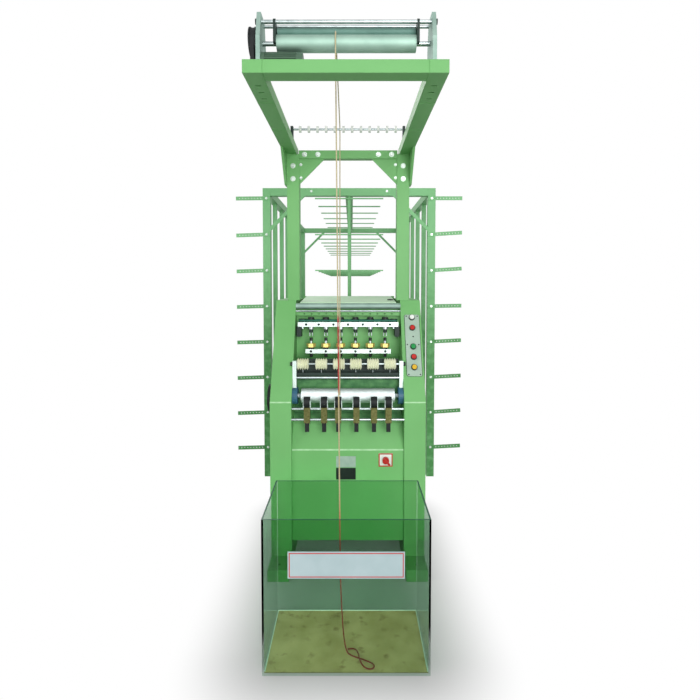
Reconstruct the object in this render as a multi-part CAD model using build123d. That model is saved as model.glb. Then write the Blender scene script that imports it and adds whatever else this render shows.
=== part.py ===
from build123d import *
import math
import os

# Cord knitting machine with overhead take-up, yarn creel and collecting bin.
# Sizes in mm, +Z up, drawn with the leg fronts on y = 0 and centred at the end.

# side frames and sheet panels
frame_outer = 355.0
frame_wide = 98.0
foot_reach = 110.0
foot_high = 52.0
anchor_r = 7.0
anchor_in = 45.0
bend_z = 763.0
body_high = 1222.0
slant_back = 217.0
body_deep = 560.0
sheet = 3.0
cover_back = 12.0
cover_low = 120.0
fold_z = 540.0
slope_top = 690.0
trough_y = 100.0
trough_low = 650.0
trough_top = 850.0
panel_y = 230.0
panel_low = 940.0
deck_z = 1208.0
deck_rise = 22.0
deck_thick = 4.0
deck_gap = 19.0
beam_low = 120.0
beam_side = 40.0
beam_front_y = 60.0
beam_rear_y = 400.0

# overhead gantry
column_side = 60.0
column_outer = 300.0
column_top = 1938.0
arm_high = 40.0
arm_wide = 60.0
arm_outer = 312.0
arm_front = -690.0
arm_rear = 300.0
beam_deep = 60.0
slot_long = 9.0
slot_wide = 18.0
slot_deep = 6.0
slot_pitch = 54.0
slot_first = 92.0
slot_count = 3
cross_side = 40.0
cross_low = 1916.0
gusset_leg = 125.0
gusset_thick = 6.0
knee_leg = 130.0
knee_low = 1790.0
washer_r = 12.5
washer_thick = 2.0
bolt_r = 8.0
bolt_high = 6.0
bolt_drop_a = 57.0
bolt_drop_b = 120.0
bolt_in_a = 27.0
bolt_in_b = 92.0

# take-up unit on the gantry
plate_thick = 14.0
plate_inset = 10.0
plate_foot = 120.0
plate_head = 70.0
plate_over = 89.0
roller_back = 220.0
roller_up = 152.0
roller_r = 28.5
roller_half = 239.0
roller_shaft_r = 8.0
run_fit = 0.05
air = 0.3
cord_r = 2.4
wheel_r = 52.0
wheel_groove_r = 46.0
wheel_thick = 24.0
wheel_gap = 4.0
nip_r = 13.0
nip_pin_r = 5.0
nip_arm_thick = 8.0
nip_arm_r = 10.0
nip_tail = 64.0
rod_a_fwd = 27.0
rod_a_up = 60.0
rod_a_r = 7.0
rod_b_back = 28.0
rod_b_up = 72.0
rod_b_r = 5.5
rod_knob_r = 10.0
rod_knob_long = 6.0
motor_fwd = 10.0
motor_down = 80.0
motor_r = 40.0
motor_long = 140.0
motor_flange = 12.0
motor_fin_r = 44.0
motor_fin_thick = 2.6
motor_fin_pairs = 14
motor_bell = 22.0
motor_shaft_r = 7.0
pinion_r = 22.0
belt_thick = 3.0
belt_wide = 14.0

# cord guide above the columns
guide_y = 90.0
guide_z = 2017.0
guide_r = 5.0
ring_pitch = 40.0
ring_count = 12
ring_r = 15.0
ring_wide = 11.0
guide_block = 24.0

# knitting heads
head_count = 6
head_pitch = 72.0
head_y = 170.0
bar_deep = 30.0
upper_bar_z = 1096.0
upper_bar_high = 22.0
upper_bar_half = 243.0
lower_bar_z = 966.0
lower_bar_high = 21.0
lower_bar_half = 207.0
spindle_r = 5.0
pulley_r = 19.0
pulley_groove_r = 16.0
pulley_high = 15.0
pulley_lip = 3.0
seat_gap = 0.4
cap_r = 15.0
cap_high = 8.0
collar_r = 14.0
collar_high = 12.0
nose_r = 9.5
nose_high = 17.0
finger_r = 2.5
finger_high = 17.0
finger_out = 6.5
needle_r = 7.0
needle_high = 53.0
spacer_r = 13.0
spacer_high = 9.0
ring_brass_r = 22.0
ring_brass_high = 18.0
nut_sides = 6
idler_x = 221.0
idler_nut_r = 6.5
idler_nut_high = 10.0
nozzle_r = 8.0
nozzle_high = 18.0
bracket_x0 = 228.0
bracket_wide = 22.0
bracket_drop = 50.0
stay_x = 140.0
stay_wide = 20.0
stay_high = 16.0
deck_bar_y = 206.0
deck_bar_z = 1194.0
deck_bar_r = 13.5
thread_bar_y = 200.0
thread_bar_z = 1170.0
thread_bar_r = 4.3
eyelet_y = 205.0
eyelet_low = 1147.0
eyelet_high = 17.0
eyelet_r = 4.0
eyelet_pitch = 36.0
eyelet_count = 13

# grooved rollers, feed roller and press levers
groove_y = 66.0
groove_z = 930.0
groove_r = 27.5
groove_depth = 7.0
groove_wide = 54.0
groove_ridges = 5
groove_pitch = 82.0
groove_shares = (-2.56, -1.51, -0.51, 0.45, 1.42, 2.39)
groove_shaft_r = 5.0
arm_plate = 18.0
arm_plate_deep = 30.0
arm_plate_high = 125.0
arm_plate_over = 16.0
end_cap_r = 9.0
end_cap_long = 11.0
comb_deep = 10.0
comb_high = 14.0
comb_drop = 54.0
comb_pin_r = 1.6
comb_pin_high = 26.0
comb_back_gap = 2.5
comb_back_high = 74.0
tie_rod_z = 866.0
tie_rod_r = 6.5
feed_y = 60.0
feed_z = 783.0
feed_r = 34.0
feed_half = 216.0
feed_shaft_r = 10.0
house_r = 39.0
house_wide = 24.0
press_r = 24.0
press_wide = 28.0
press_drop = 17.0
press_pin_r = 4.0
fork_thick = 3.0
fork_gap = 0.5
fork_deep = 26.0
fork_top = 9.0
lever_pitch = 74.0
lever_shares = (-2.51, -1.46, -0.59, 0.53, 1.61, 2.50)
lever_wide = 28.0
lever_deep = 20.0
lever_top = 741.0
lever_low = 671.0
tail_low = 629.0
tail_wide = 19.0
tail_deep = 8.0
pivot_z = 685.0
pivot_r = 6.0
stop_rod_z = 730.0
stop_rod_r = 6.0

# controls
panel_x = 310.0
panel_wide = 70.0
panel_s0 = 123.0
panel_s1 = 430.0
panel_thick = 3.0
panel_corner_r = 9.0
lamp_share = 0.948
button_shares = (0.775, 0.466, 0.3, 0.137)
bezel_r = 14.5
bezel_high = 6.0
button_r = 11.0
button_gap = 4.6
button_high = 7.0
switch_x = 173.0
switch_z = 497.0
switch_wide = 64.0
switch_high = 61.0
switch_thick = 4.0
knob_r = 15.5
knob_high = 14.0
knob_bar = 9.0
knob_bar_high = 8.0
knob_pin_r = 4.0
knob_degrees = -45
knob_tail = 9.0
name_x = -9.0
name_wide = 90.0
name_thick = 1.5
name_top = 513.0
name_mid = 462.0
name_gap = 3.0
name_low = 405.0

# main drive inside the body
shaft_y = 165.0
shaft_z = 748.0
shaft_r = 12.0
shaft_in = 40.0
handwheel_r = 65.0
handwheel_rim = 13.0
handwheel_wide = 18.0
handwheel_gap = 12.0
handwheel_hub_r = 24.0
handwheel_web = 6.0
drive_wheel_r = 55.0
drive_wheel_x = -60.0
drive_wheel_wide = 30.0
main_motor_r = 70.0
main_motor_half = 120.0
main_motor_y = 300.0
main_plate = 8.0
main_foot_half = 55.0

# yarn creel
creel_y = 1040.0
creel_half = 572.0
creel_post = 50.0
creel_top = 1935.0
row_count = 8
row_pitch = 330.0
inner_post = 30.0
centre_post = 20.0
tier_count = 8
tier_first = 1868.0
tier_pitch = 238.0
arm_out = 176.0
arm_strip = 25.0
strip_thick = 3.0
peg_half = 227.0
peg_side = 8.0
brace_run = 235.0
brace_wide = 32.0
brace_thick = 6.0

# collecting bin
bin_half = 280.0
bin_front = -615.0
bin_deep = 315.0
bin_high = 530.0
bin_wall = 6.0
bin_sheet_thick = 3.0
front_board_half = 193.0
front_board_low = 334.0
front_board_high = 90.0
front_board_thick = 3.0

# product cord
cord_x = -37.0
cord_start_z = 793.0
cord_join = 12.0
guide_air = 1.6
hang_x = -22.0
hang_low = 230.0
hang_bend_share = 0.45
loop_points = (
    (-8.0, -522.0, 0), (24.0, -546.0, 0), (66.0, -562.0, 0), (98.0, -582.0, 0),
    (88.0, -602.0, 0), (62.0, -597.0, 0), (46.0, -574.0, 6.0), (40.0, -532.0, 6.0),
    (26.0, -506.0, 0), (4.0, -512.0, 0),
)

frame_inner = frame_outer - frame_wide
deck_half = frame_inner - deck_gap
column_inner = column_outer - column_side
arm_inner = arm_outer - arm_wide
arm_top = column_top + arm_high
roller_y = arm_front + roller_back
roller_z = arm_top + roller_up
plate_top = roller_z + plate_over
rod_a_y = roller_y - rod_a_fwd
rod_a_z = roller_z + rod_a_up
rod_b_y = roller_y + rod_b_back
rod_b_z = roller_z + rod_b_up
motor_y = roller_y - motor_fwd
motor_z = roller_z - motor_down
creel_rear = creel_y + row_pitch * (row_count - 1) + creel_post
centre_shift = -(arm_front + creel_rear) / 2


def block(x0, x1, y0, y1, z0, z1):
    body = Box(abs(x1 - x0), abs(y1 - y0), abs(z1 - z0))
    return Pos((x0 + x1) / 2, (y0 + y1) / 2, (z0 + z1) / 2) * body


def rod_x(x0, x1, y, z, r):
    return Pos((x0 + x1) / 2, y, z) * Rot(0, 90, 0) * Cylinder(r, abs(x1 - x0))


def rod_y(x, y0, y1, z, r):
    return Pos(x, (y0 + y1) / 2, z) * Rot(90, 0, 0) * Cylinder(r, abs(y1 - y0))


def rod_z(x, y, z0, z1, r):
    return Pos(x, y, (z0 + z1) / 2) * Cylinder(r, abs(z1 - z0))


def slab_x(points, x0, x1):
    edge = Polyline(*[(x0, y, z) for y, z in points], close=True)
    return extrude(make_face(edge), amount=x1 - x0, dir=(1, 0, 0))


def slab_y(points, y0, y1):
    edge = Polyline(*[(x, y0, z) for x, z in points], close=True)
    return extrude(make_face(edge), amount=y1 - y0, dir=(0, 1, 0))


def bent_sheet(points, half, thick):
    back = [(y + thick, z) for y, z in reversed(points)]
    return slab_x(points + back, -half, half)


def mirrored(solid):
    return [solid, mirror(solid, about=Plane.YZ)]


def spread(count, pitch):
    return [(i - (count - 1) / 2) * pitch for i in range(count)]


nodes = {}

# side frames with slanted fronts and forward feet
frame_side = [
    (-foot_reach, 0),
    (body_deep, 0),
    (body_deep, body_high),
    (slant_back, body_high),
    (0, bend_z),
    (0, foot_high),
    (-foot_reach, foot_high),
]
right_frame = slab_x(frame_side, frame_inner, frame_outer)
frame_mid = (frame_inner + frame_outer) / 2
anchor_y = anchor_in - foot_reach
right_frame = right_frame - rod_z(frame_mid, anchor_y, 0, foot_high, anchor_r)
left_frame = mirror(right_frame, about=Plane.YZ)
shaft_bore = rod_x(-frame_outer, -frame_inner, shaft_y, shaft_z, shaft_r + run_fit)
nodes["left_side_frame"] = [left_frame - shaft_bore]
far_bore = rod_x(frame_inner, frame_inner + shaft_in, shaft_y, shaft_z, shaft_r + run_fit)
nodes["right_side_frame"] = [right_frame - far_bore]

# folded sheet covers between the frames
cover_line = [(cover_back, cover_low), (cover_back, fold_z), (trough_y - sheet, slope_top)]
front_cover = bent_sheet(cover_line, frame_inner, sheet)
switch_bore = rod_y(switch_x, cover_back, cover_back + sheet, switch_z, knob_pin_r + run_fit)
nodes["front_cover"] = [front_cover - switch_bore]
panel_line = [
    (trough_y, trough_low),
    (trough_y, trough_top),
    (panel_y, panel_low),
    (panel_y, deck_z),
]
back_panel = bent_sheet(panel_line, frame_inner, sheet)
rear_y = body_deep - sheet
rear_top = deck_z + deck_rise + deck_thick
rear_cover = block(-frame_inner, frame_inner, rear_y, body_deep, cover_low, rear_top)
nodes["inner_and_rear_panels"] = [back_panel, rear_cover]
deck_line = [
    (slant_back, deck_z),
    (rear_y, deck_z + deck_rise),
    (rear_y, rear_top),
    (slant_back, deck_z + deck_thick),
]
nodes["top_deck"] = [slab_x(deck_line, -deck_half, deck_half)]
beam_top = beam_low + beam_side
front_tie = block(-frame_inner, frame_inner, beam_front_y, beam_front_y + beam_side, beam_low, beam_top)
rear_tie = block(-frame_inner, frame_inner, beam_rear_y, beam_rear_y + beam_side, beam_low, beam_top)

# main motor on a plate across the base beams
plate_z = beam_top + main_plate
motor_centre = plate_z + main_motor_r + main_plate
beam_end_y = beam_rear_y + beam_side
motor_base = block(-main_motor_half, main_motor_half, beam_front_y, beam_end_y, beam_top, plate_z)
motor_feet = block(-main_foot_half, main_foot_half, main_motor_y - main_foot_half,
                   main_motor_y + main_foot_half, plate_z, motor_centre)
main_barrel = rod_x(-main_motor_half, main_motor_half, main_motor_y, motor_centre, main_motor_r)
nodes["main_motor_base"] = [front_tie, rear_tie, motor_base, main_barrel + motor_feet]

# main shaft with driven pulley inside and handwheel outside the left frame
wheel_x1 = -frame_outer - handwheel_gap
wheel_x0 = wheel_x1 - handwheel_wide
shaft_line = rod_x(wheel_x0, frame_inner + shaft_in - run_fit, shaft_y, shaft_z, shaft_r)
drive_x1 = drive_wheel_x + drive_wheel_wide
drive_disc = rod_x(drive_wheel_x, drive_x1, shaft_y, shaft_z, drive_wheel_r)
rim = rod_x(wheel_x0, wheel_x1, shaft_y, shaft_z, handwheel_r)
rim = rim - rod_x(wheel_x0, wheel_x1, shaft_y, shaft_z, handwheel_r - handwheel_rim)
web_x0 = (wheel_x0 + wheel_x1 - handwheel_web) / 2
web = rod_x(web_x0, web_x0 + handwheel_web, shaft_y, shaft_z, handwheel_r - handwheel_rim / 2)
hub = rod_x(wheel_x0, wheel_x1, shaft_y, shaft_z, handwheel_hub_r)
handwheel = rim + web + hub
handwheel = handwheel - rod_x(wheel_x0, wheel_x1, shaft_y, shaft_z, shaft_r)
nodes["handwheel_shaft"] = [handwheel, shaft_line + drive_disc]

# columns on the frame tops
column_y1 = slant_back + column_side
column = block(column_inner, column_outer, slant_back, column_y1, body_high, column_top)
nodes["columns"] = mirrored(column)

# gantry arms with slotted undersides, front beam and cross bar
arm = block(arm_inner, arm_outer, arm_front, arm_rear, column_top, arm_top)
arm_mid = (arm_inner + arm_outer) / 2
for k in range(slot_count):
    slot_y = arm_front + slot_first + k * slot_pitch
    arm = arm - block(arm_mid - slot_wide / 2, arm_mid + slot_wide / 2, slot_y, slot_y + slot_long,
                      column_top, column_top + slot_deep)
nodes["gantry_arms"] = mirrored(arm)
front_beam = block(-arm_inner, arm_inner, arm_front, arm_front + beam_deep, column_top, arm_top)
cross_y1 = slant_back + cross_side
cross_top = cross_low + cross_side
cross_bar = block(-column_inner, column_inner, slant_back, cross_y1, cross_low, cross_top)

# corner gussets under the cross bar and knee plates outside the columns
gusset_y = slant_back + gusset_thick
gusset_line = [
    (column_inner, cross_low),
    (column_inner - gusset_leg, cross_low),
    (column_inner, cross_low - gusset_leg),
]
gusset = slab_y(gusset_line, gusset_y, gusset_y + gusset_thick)
knee_line = [
    (slant_back - knee_leg, column_top),
    (column_y1, column_top),
    (column_y1, knee_low),
    (slant_back, knee_low),
]
knee = slab_x(knee_line, column_outer, arm_outer)
nodes["gantry_beams"] = [front_beam, cross_bar] + mirrored(gusset) + mirrored(knee)

# washers and bolt heads on columns and cross bar
bolts = []
column_mid = (column_inner + column_outer) / 2
cross_mid = cross_low + cross_side / 2
bolt_places = [
    (column_mid, column_top - bolt_drop_a),
    (column_mid, column_top - bolt_drop_b),
    (column_inner - bolt_in_a, cross_mid),
    (column_inner - bolt_in_b, cross_mid),
]
for x, z in bolt_places:
    washer = rod_y(x, slant_back - washer_thick, slant_back, z, washer_r)
    head = rod_y(x, slant_back - washer_thick - bolt_high, slant_back - washer_thick, z, bolt_r)
    bolts += mirrored(washer + head)
nodes["frame_bolts"] = bolts

# take-up side plates standing on the arms
plate_out = arm_outer - plate_inset
plate_in = plate_out - plate_thick
plate_line = [
    (roller_y - plate_foot / 2, arm_top),
    (roller_y + plate_foot / 2, arm_top),
    (roller_y + plate_foot / 2, roller_z),
    (roller_y + plate_head / 2, plate_top),
    (roller_y - plate_head / 2, plate_top),
    (roller_y - plate_foot / 2, roller_z),
]
side_plate = slab_x(plate_line, plate_in, plate_out)
side_plate = side_plate - rod_x(plate_in, plate_out, roller_y, roller_z, roller_shaft_r + run_fit)
left_plate = mirror(side_plate, about=Plane.YZ)
left_plate = left_plate - rod_x(-plate_out, -plate_in, motor_y, motor_z, motor_shaft_r + run_fit)
nodes["take_up_plates"] = [side_plate, left_plate]

# take-up roller on its shaft with the black belt wheel outside the left plate
wheel_in = -plate_out - wheel_gap
wheel_out = wheel_in - wheel_thick
take_shaft = rod_x(wheel_out, plate_out + rod_knob_long, roller_y, roller_z, roller_shaft_r)
take_roller = rod_x(-roller_half, roller_half, roller_y, roller_z, roller_r)
belt_mid = (wheel_in + wheel_out) / 2
belt_x0 = belt_mid - belt_wide / 2
belt_x1 = belt_mid + belt_wide / 2
belt_wheel = rod_x(wheel_out, wheel_in, roller_y, roller_z, wheel_r)
groove_cut = rod_x(belt_x0 - air, belt_x1 + air, roller_y, roller_z, wheel_r)
groove_cut = groove_cut - rod_x(belt_x0 - air, belt_x1 + air, roller_y, roller_z, wheel_groove_r)
belt_wheel = belt_wheel - groove_cut
belt_wheel = belt_wheel - rod_x(wheel_out, wheel_in, roller_y, roller_z, roller_shaft_r)
nodes["take_up_roller"] = [take_roller + take_shaft, belt_wheel]

# cord line over guide and roller, then the nip roller pressed on the cord
wrap_r = roller_r + cord_r + air
bend_y = guide_y + guide_r + cord_r + guide_air
bend_z2 = guide_z + guide_r + cord_r + guide_air
reach_y = bend_y - roller_y
reach_z = roller_z - bend_z2
lean = math.atan2(reach_z, reach_y) + math.asin(wrap_r / math.hypot(reach_y, reach_z))
nip_far = wrap_r + cord_r + air + nip_r
nip_y = roller_y + nip_far * math.sin(lean)
nip_z = roller_z + nip_far * math.cos(lean)
nip_arm_x0 = roller_half + fork_gap
nip_arm_x1 = nip_arm_x0 + nip_arm_thick
nip_body = rod_x(-roller_half, roller_half, nip_y, nip_z, nip_r)
nodes["nip_roller"] = [nip_body + rod_x(-nip_arm_x1, nip_arm_x1, nip_y, nip_z, nip_pin_r)]
tail_z = rod_a_z - nip_tail


def link_x(y0, z0, y1, z1, r, x0, x1):
    long = math.hypot(y1 - y0, z1 - z0)
    side_y = r * (z1 - z0) / long
    side_z = r * (y1 - y0) / long
    line = [
        (y0 - side_y, z0 + side_z),
        (y1 - side_y, z1 + side_z),
        (y1 + side_y, z1 - side_z),
        (y0 + side_y, z0 - side_z),
    ]
    return rod_x(x0, x1, y0, z0, r) + rod_x(x0, x1, y1, z1, r) + slab_x(line, x0, x1)


nip_arm = link_x(nip_y, nip_z, rod_a_y, rod_a_z, nip_arm_r, nip_arm_x0, nip_arm_x1)
nip_arm = nip_arm + link_x(rod_a_y, rod_a_z, rod_a_y, tail_z, nip_arm_r, nip_arm_x0, nip_arm_x1)
nip_arm = nip_arm - rod_x(nip_arm_x0, nip_arm_x1, nip_y, nip_z, nip_pin_r + run_fit)
nip_arm = nip_arm - rod_x(nip_arm_x0, nip_arm_x1, rod_a_y, rod_a_z, rod_a_r)
tie_a = rod_x(-plate_in, plate_in, rod_a_y, rod_a_z, rod_a_r)
tie_b = rod_x(-plate_in, plate_in, rod_b_y, rod_b_z, rod_b_r)
knob_out = plate_out + rod_knob_long
rod_knobs = mirrored(rod_x(plate_out, knob_out, rod_a_y, rod_a_z, rod_knob_r))
rod_knobs += mirrored(rod_x(plate_out, knob_out, rod_b_y, rod_b_z, rod_knob_r))

# finned gear motor flanged to the inside of the left plate
motor_x0 = -plate_in
motor_x1 = motor_x0 + motor_long
barrel = rod_x(motor_x0, motor_x1, motor_y, motor_z, motor_r)
barrel = barrel + rod_x(motor_x0, motor_x0 + motor_flange, motor_y, motor_z, motor_fin_r)
fin_long = motor_long - motor_flange - motor_bell
fin_pair = Box(fin_long, motor_fin_thick, 2 * motor_fin_r)
fin_mid = Pos(motor_x0 + motor_flange + fin_long / 2, motor_y, motor_z)
for k in range(motor_fin_pairs):
    barrel = barrel + fin_mid * Rot(180 * k / motor_fin_pairs, 0, 0) * fin_pair
nodes["take_up_motor"] = [barrel]
motor_axle = rod_x(wheel_out, motor_x0, motor_y, motor_z, motor_shaft_r)
pinion = rod_x(belt_x0 - belt_thick, belt_x1 + belt_thick, motor_y, motor_z, pinion_r)
nodes["motor_pinion"] = [motor_axle + pinion]
loop_in = make_hull(
    (Pos(roller_y, roller_z) * Circle(wheel_groove_r + air)).edges()
    + (Pos(motor_y, motor_z) * Circle(pinion_r + air)).edges())
loop_out = make_hull(
    (Pos(roller_y, roller_z) * Circle(wheel_groove_r + air + belt_thick)).edges()
    + (Pos(motor_y, motor_z) * Circle(pinion_r + air + belt_thick)).edges())
flat_loop = extrude(loop_out - loop_in, amount=belt_wide)
loop_plane = Plane(origin=(belt_x0, 0, 0), x_dir=(0, 1, 0), z_dir=(1, 0, 0))
nodes["take_up_belt"] = [loop_plane * flat_loop]

# cord guide rod with ceramic rings between two blocks on the arms
ring_xs = spread(ring_count, ring_pitch)
guide_x = arm_inner + guide_r
guide_rod = rod_x(-guide_x, guide_x, guide_y, guide_z, guide_r)
rings = []
for x in ring_xs:
    ring = rod_x(x - ring_wide / 2, x + ring_wide / 2, guide_y, guide_z, ring_r)
    rings.append(ring - rod_x(x - ring_wide / 2, x + ring_wide / 2, guide_y, guide_z, guide_r))
nodes["guide_rings"] = rings
guide_top = guide_z + guide_block / 2
holder = block(arm_inner, arm_inner + guide_block / 2, guide_y - guide_block / 2,
               guide_y + guide_block / 2, arm_top, guide_top)
holder = holder - rod_x(arm_inner, guide_x, guide_y, guide_z, guide_r)

# upper head bar with six belt driven flyer spindles
head_xs = spread(head_count, head_pitch)
bar_y0 = head_y - bar_deep / 2
bar_y1 = head_y + bar_deep / 2
upper_top = upper_bar_z + upper_bar_high
upper_bar = block(-upper_bar_half, upper_bar_half, bar_y0, bar_y1, upper_bar_z, upper_top)
idler_xs = [-idler_x, idler_x]
for x in head_xs + idler_xs:
    upper_bar = upper_bar - rod_z(x, head_y, upper_bar_z, upper_top, spindle_r + run_fit)
pulley_z = upper_top + seat_gap
collar_z = upper_bar_z - seat_gap - collar_high
nose_z = collar_z - nose_high
cap_z = pulley_z + pulley_high


def belt_pulley(x):
    core = rod_z(x, head_y, pulley_z, cap_z, pulley_groove_r)
    lower_lip = rod_z(x, head_y, pulley_z, pulley_z + pulley_lip, pulley_r)
    return core + lower_lip + rod_z(x, head_y, cap_z - pulley_lip, cap_z, pulley_r)


for i, x in enumerate(head_xs):
    head = belt_pulley(x) + rod_z(x, head_y, collar_z, pulley_z, spindle_r)
    head = head + rod_z(x, head_y, cap_z, cap_z + cap_high, cap_r)
    head = head + rod_z(x, head_y, collar_z, collar_z + collar_high, collar_r)
    head = head + rod_z(x, head_y, nose_z, collar_z, nose_r)
    head = head + rod_z(x - finger_out, head_y, nose_z - finger_high, nose_z, finger_r)
    head = head + rod_z(x + finger_out, head_y, nose_z - finger_high, nose_z, finger_r)
    nodes["flyer_head_%d" % (i + 1)] = [head]
belt_in_r = pulley_groove_r + air
belt_out_r = belt_in_r + belt_thick
idlers = []
idler_nut_z = upper_bar_z - seat_gap - idler_nut_high
for x in idler_xs:
    stud = rod_z(x, head_y, idler_nut_z, pulley_z, spindle_r)
    nut = rod_z(x, head_y, idler_nut_z, idler_nut_z + idler_nut_high, idler_nut_r)
    idlers.append(belt_pulley(x) + stud + nut)
belt_run = 2 * idler_x
belt_z0 = pulley_z + pulley_lip + air
belt_z1 = pulley_z + pulley_high - pulley_lip - air
belt_face = SlotCenterToCenter(belt_run, 2 * belt_out_r) - SlotCenterToCenter(belt_run, 2 * belt_in_r)
nodes["drive_belt"] = [Pos(0, head_y, belt_z0) * extrude(belt_face, amount=belt_z1 - belt_z0)]

# lower bar with needle cylinders, brass rings and nozzles
lower_top = lower_bar_z + lower_bar_high
lower_bar = block(-lower_bar_half, lower_bar_half, bar_y0, bar_y1, lower_bar_z, lower_top)
nodes["head_bars"] = [upper_bar, lower_bar] + idlers
needles = []
brass = []
ring_z = lower_top + spacer_high
for x in head_xs:
    needles.append(rod_z(x, head_y, lower_top, lower_top + needle_high, needle_r)
                   + rod_z(x, head_y, lower_top, ring_z, spacer_r))
    needles.append(rod_z(x, head_y, lower_bar_z - nozzle_high, lower_bar_z, nozzle_r))
    nut = Pos(x, head_y, ring_z) * extrude(RegularPolygon(ring_brass_r, nut_sides), amount=ring_brass_high)
    brass.append(nut - rod_z(x, head_y, ring_z, ring_z + ring_brass_high, needle_r))
nodes["needle_cylinders"] = needles
nodes["brass_rings"] = brass
bracket_x1 = bracket_x0 + bracket_wide
end_bracket = block(bracket_x0, bracket_x1, head_y, panel_y, upper_bar_z - bracket_drop, upper_bar_z)
bar_stay = block(stay_x, stay_x + stay_wide, bar_y1, panel_y, lower_bar_z, lower_bar_z + stay_high)
dark_brackets = mirrored(end_bracket) + mirrored(bar_stay) + mirrored(nip_arm) + mirrored(holder) + rod_knobs

# thread bars and eyelet board at the top of the opening
eyelet_top = eyelet_low + eyelet_high
board = block(-frame_inner, frame_inner, eyelet_y, eyelet_y + sheet, eyelet_low, eyelet_top)
for x in spread(eyelet_count, eyelet_pitch):
    board = board - rod_y(x, eyelet_y, eyelet_y + sheet, eyelet_low + eyelet_high / 2, eyelet_r)
nodes["eyelet_board"] = [board]
deck_bar = rod_x(-frame_inner, frame_inner, deck_bar_y, deck_bar_z, deck_bar_r)
thread_bar = rod_x(-frame_inner, frame_inner, thread_bar_y, thread_bar_z, thread_bar_r)

# grooved rollers clamped on a shaft between two arm plates
arm_plate_x = frame_inner - arm_plate
arm_plate_z = groove_z + arm_plate_over - arm_plate_high
roller_arm = block(arm_plate_x, frame_inner, groove_y - arm_plate_deep / 2, groove_y + arm_plate_deep / 2,
                   arm_plate_z, arm_plate_z + arm_plate_high)
roller_arm = roller_arm - rod_x(arm_plate_x, frame_inner, groove_y, groove_z, groove_shaft_r + run_fit)
house_cut = rod_x(arm_plate_x, frame_inner, feed_y, feed_z, house_r)
nodes["roller_arms"] = mirrored(roller_arm - house_cut)
cap_in = frame_inner + air
groove_shaft = rod_x(-cap_in, cap_in, groove_y, groove_z, groove_shaft_r)
for end_cap in mirrored(rod_x(cap_in, cap_in + end_cap_long, groove_y, groove_z, end_cap_r)):
    groove_shaft = groove_shaft + end_cap
nodes["groove_shaft"] = [groove_shaft]
half_step = groove_wide / (2 * groove_ridges)
ridge_line = [(-groove_wide / 2, groove_shaft_r)]
for k in range(2 * groove_ridges + 1):
    ridge_x = k * half_step - groove_wide / 2
    ridge_line.append((ridge_x, groove_r - groove_depth * ((k + 1) % 2)))
ridge_line.append((groove_wide / 2, groove_shaft_r))
ridge_face = make_face(Polyline(*ridge_line, close=True))
grooved = revolve(ridge_face, axis=Axis.X)
groove_xs = [groove_pitch * share for share in groove_shares]
nodes["grooved_rollers"] = [Pos(x, groove_y, groove_z) * grooved for x in groove_xs]
tie_rod = rod_x(-arm_plate_x, arm_plate_x, groove_y, tie_rod_z, tie_rod_r)
comb_z = groove_z - comb_drop
comb_y = groove_y - comb_deep / 2
comb = block(-arm_plate_x, arm_plate_x, comb_y, comb_y + comb_deep, comb_z, comb_z + comb_high)
for x in groove_xs:
    comb = comb + rod_z(x, groove_y, comb_z, comb_z + comb_pin_high - air, comb_pin_r)
back_y = groove_y + groove_r + comb_back_gap
comb = comb + block(-arm_plate_x, arm_plate_x, comb_y, back_y + sheet, comb_z, comb_z + sheet)
comb = comb + block(-arm_plate_x, arm_plate_x, back_y, back_y + sheet, comb_z, comb_z + comb_back_high)
nodes["dark_brackets"] = dark_brackets + [comb]

# feed roller in two bearing housings
feed = rod_x(-feed_half, feed_half, feed_y, feed_z, feed_r)
nodes["feed_roller"] = [feed + rod_x(-frame_inner + air, frame_inner - air, feed_y, feed_z, feed_shaft_r)]
house = rod_x(frame_inner - house_wide, frame_inner, feed_y, feed_z, house_r)
house = house - rod_x(frame_inner - house_wide, frame_inner, feed_y, feed_z, feed_shaft_r + run_fit)
nodes["bearing_housings"] = mirrored(house)

# six press levers on the lower rod, each with a fork and a rubber roller
press_z = feed_z - press_drop
press_y = feed_y - math.sqrt((feed_r + press_r + air) ** 2 - press_drop ** 2)
stop_rod_y = press_y + lever_deep / 2 + stop_rod_r + air
stop_rod = rod_x(-frame_inner, frame_inner, stop_rod_y, stop_rod_z, stop_rod_r)
pivot_rod = rod_x(-frame_inner, frame_inner, press_y, pivot_z, pivot_r)
nodes["steel_rods"] = [deck_bar, thread_bar, tie_rod, stop_rod, pivot_rod, tie_a, tie_b, guide_rod]
fork_in = press_wide / 2 + fork_gap
fork_out = fork_in + fork_thick
lever_xs = [lever_pitch * share for share in lever_shares]
for i, x in enumerate(lever_xs):
    press = rod_x(x - press_wide / 2, x + press_wide / 2, press_y, press_z, press_r)
    pin = rod_x(x - fork_out, x + fork_out, press_y, press_z, press_pin_r)
    forks = []
    for x0, x1 in ((x - fork_out, x - fork_in), (x + fork_in, x + fork_out)):
        cheek = block(x0, x1, press_y - fork_deep / 2, press_y + fork_deep / 2, lever_top,
                      press_z + fork_top)
        forks.append(cheek)
    foot = block(x - fork_out, x + fork_out, press_y - lever_deep / 2, press_y + lever_deep / 2,
                 lever_top - fork_thick, lever_top)
    weight = block(x - lever_wide / 2, x + lever_wide / 2, press_y - lever_deep / 2,
                   press_y + lever_deep / 2, lever_low, lever_top - fork_thick)
    tail = block(x - tail_wide / 2, x + tail_wide / 2, press_y - tail_deep / 2, press_y + tail_deep / 2,
                 tail_low, lever_low)
    lever = forks[0] + forks[1] + foot + weight + tail + pin + press
    lever = lever - rod_x(x - fork_out, x + fork_out, press_y, pivot_z, pivot_r + run_fit)
    nodes["press_lever_%d" % (i + 1)] = [lever]

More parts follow.
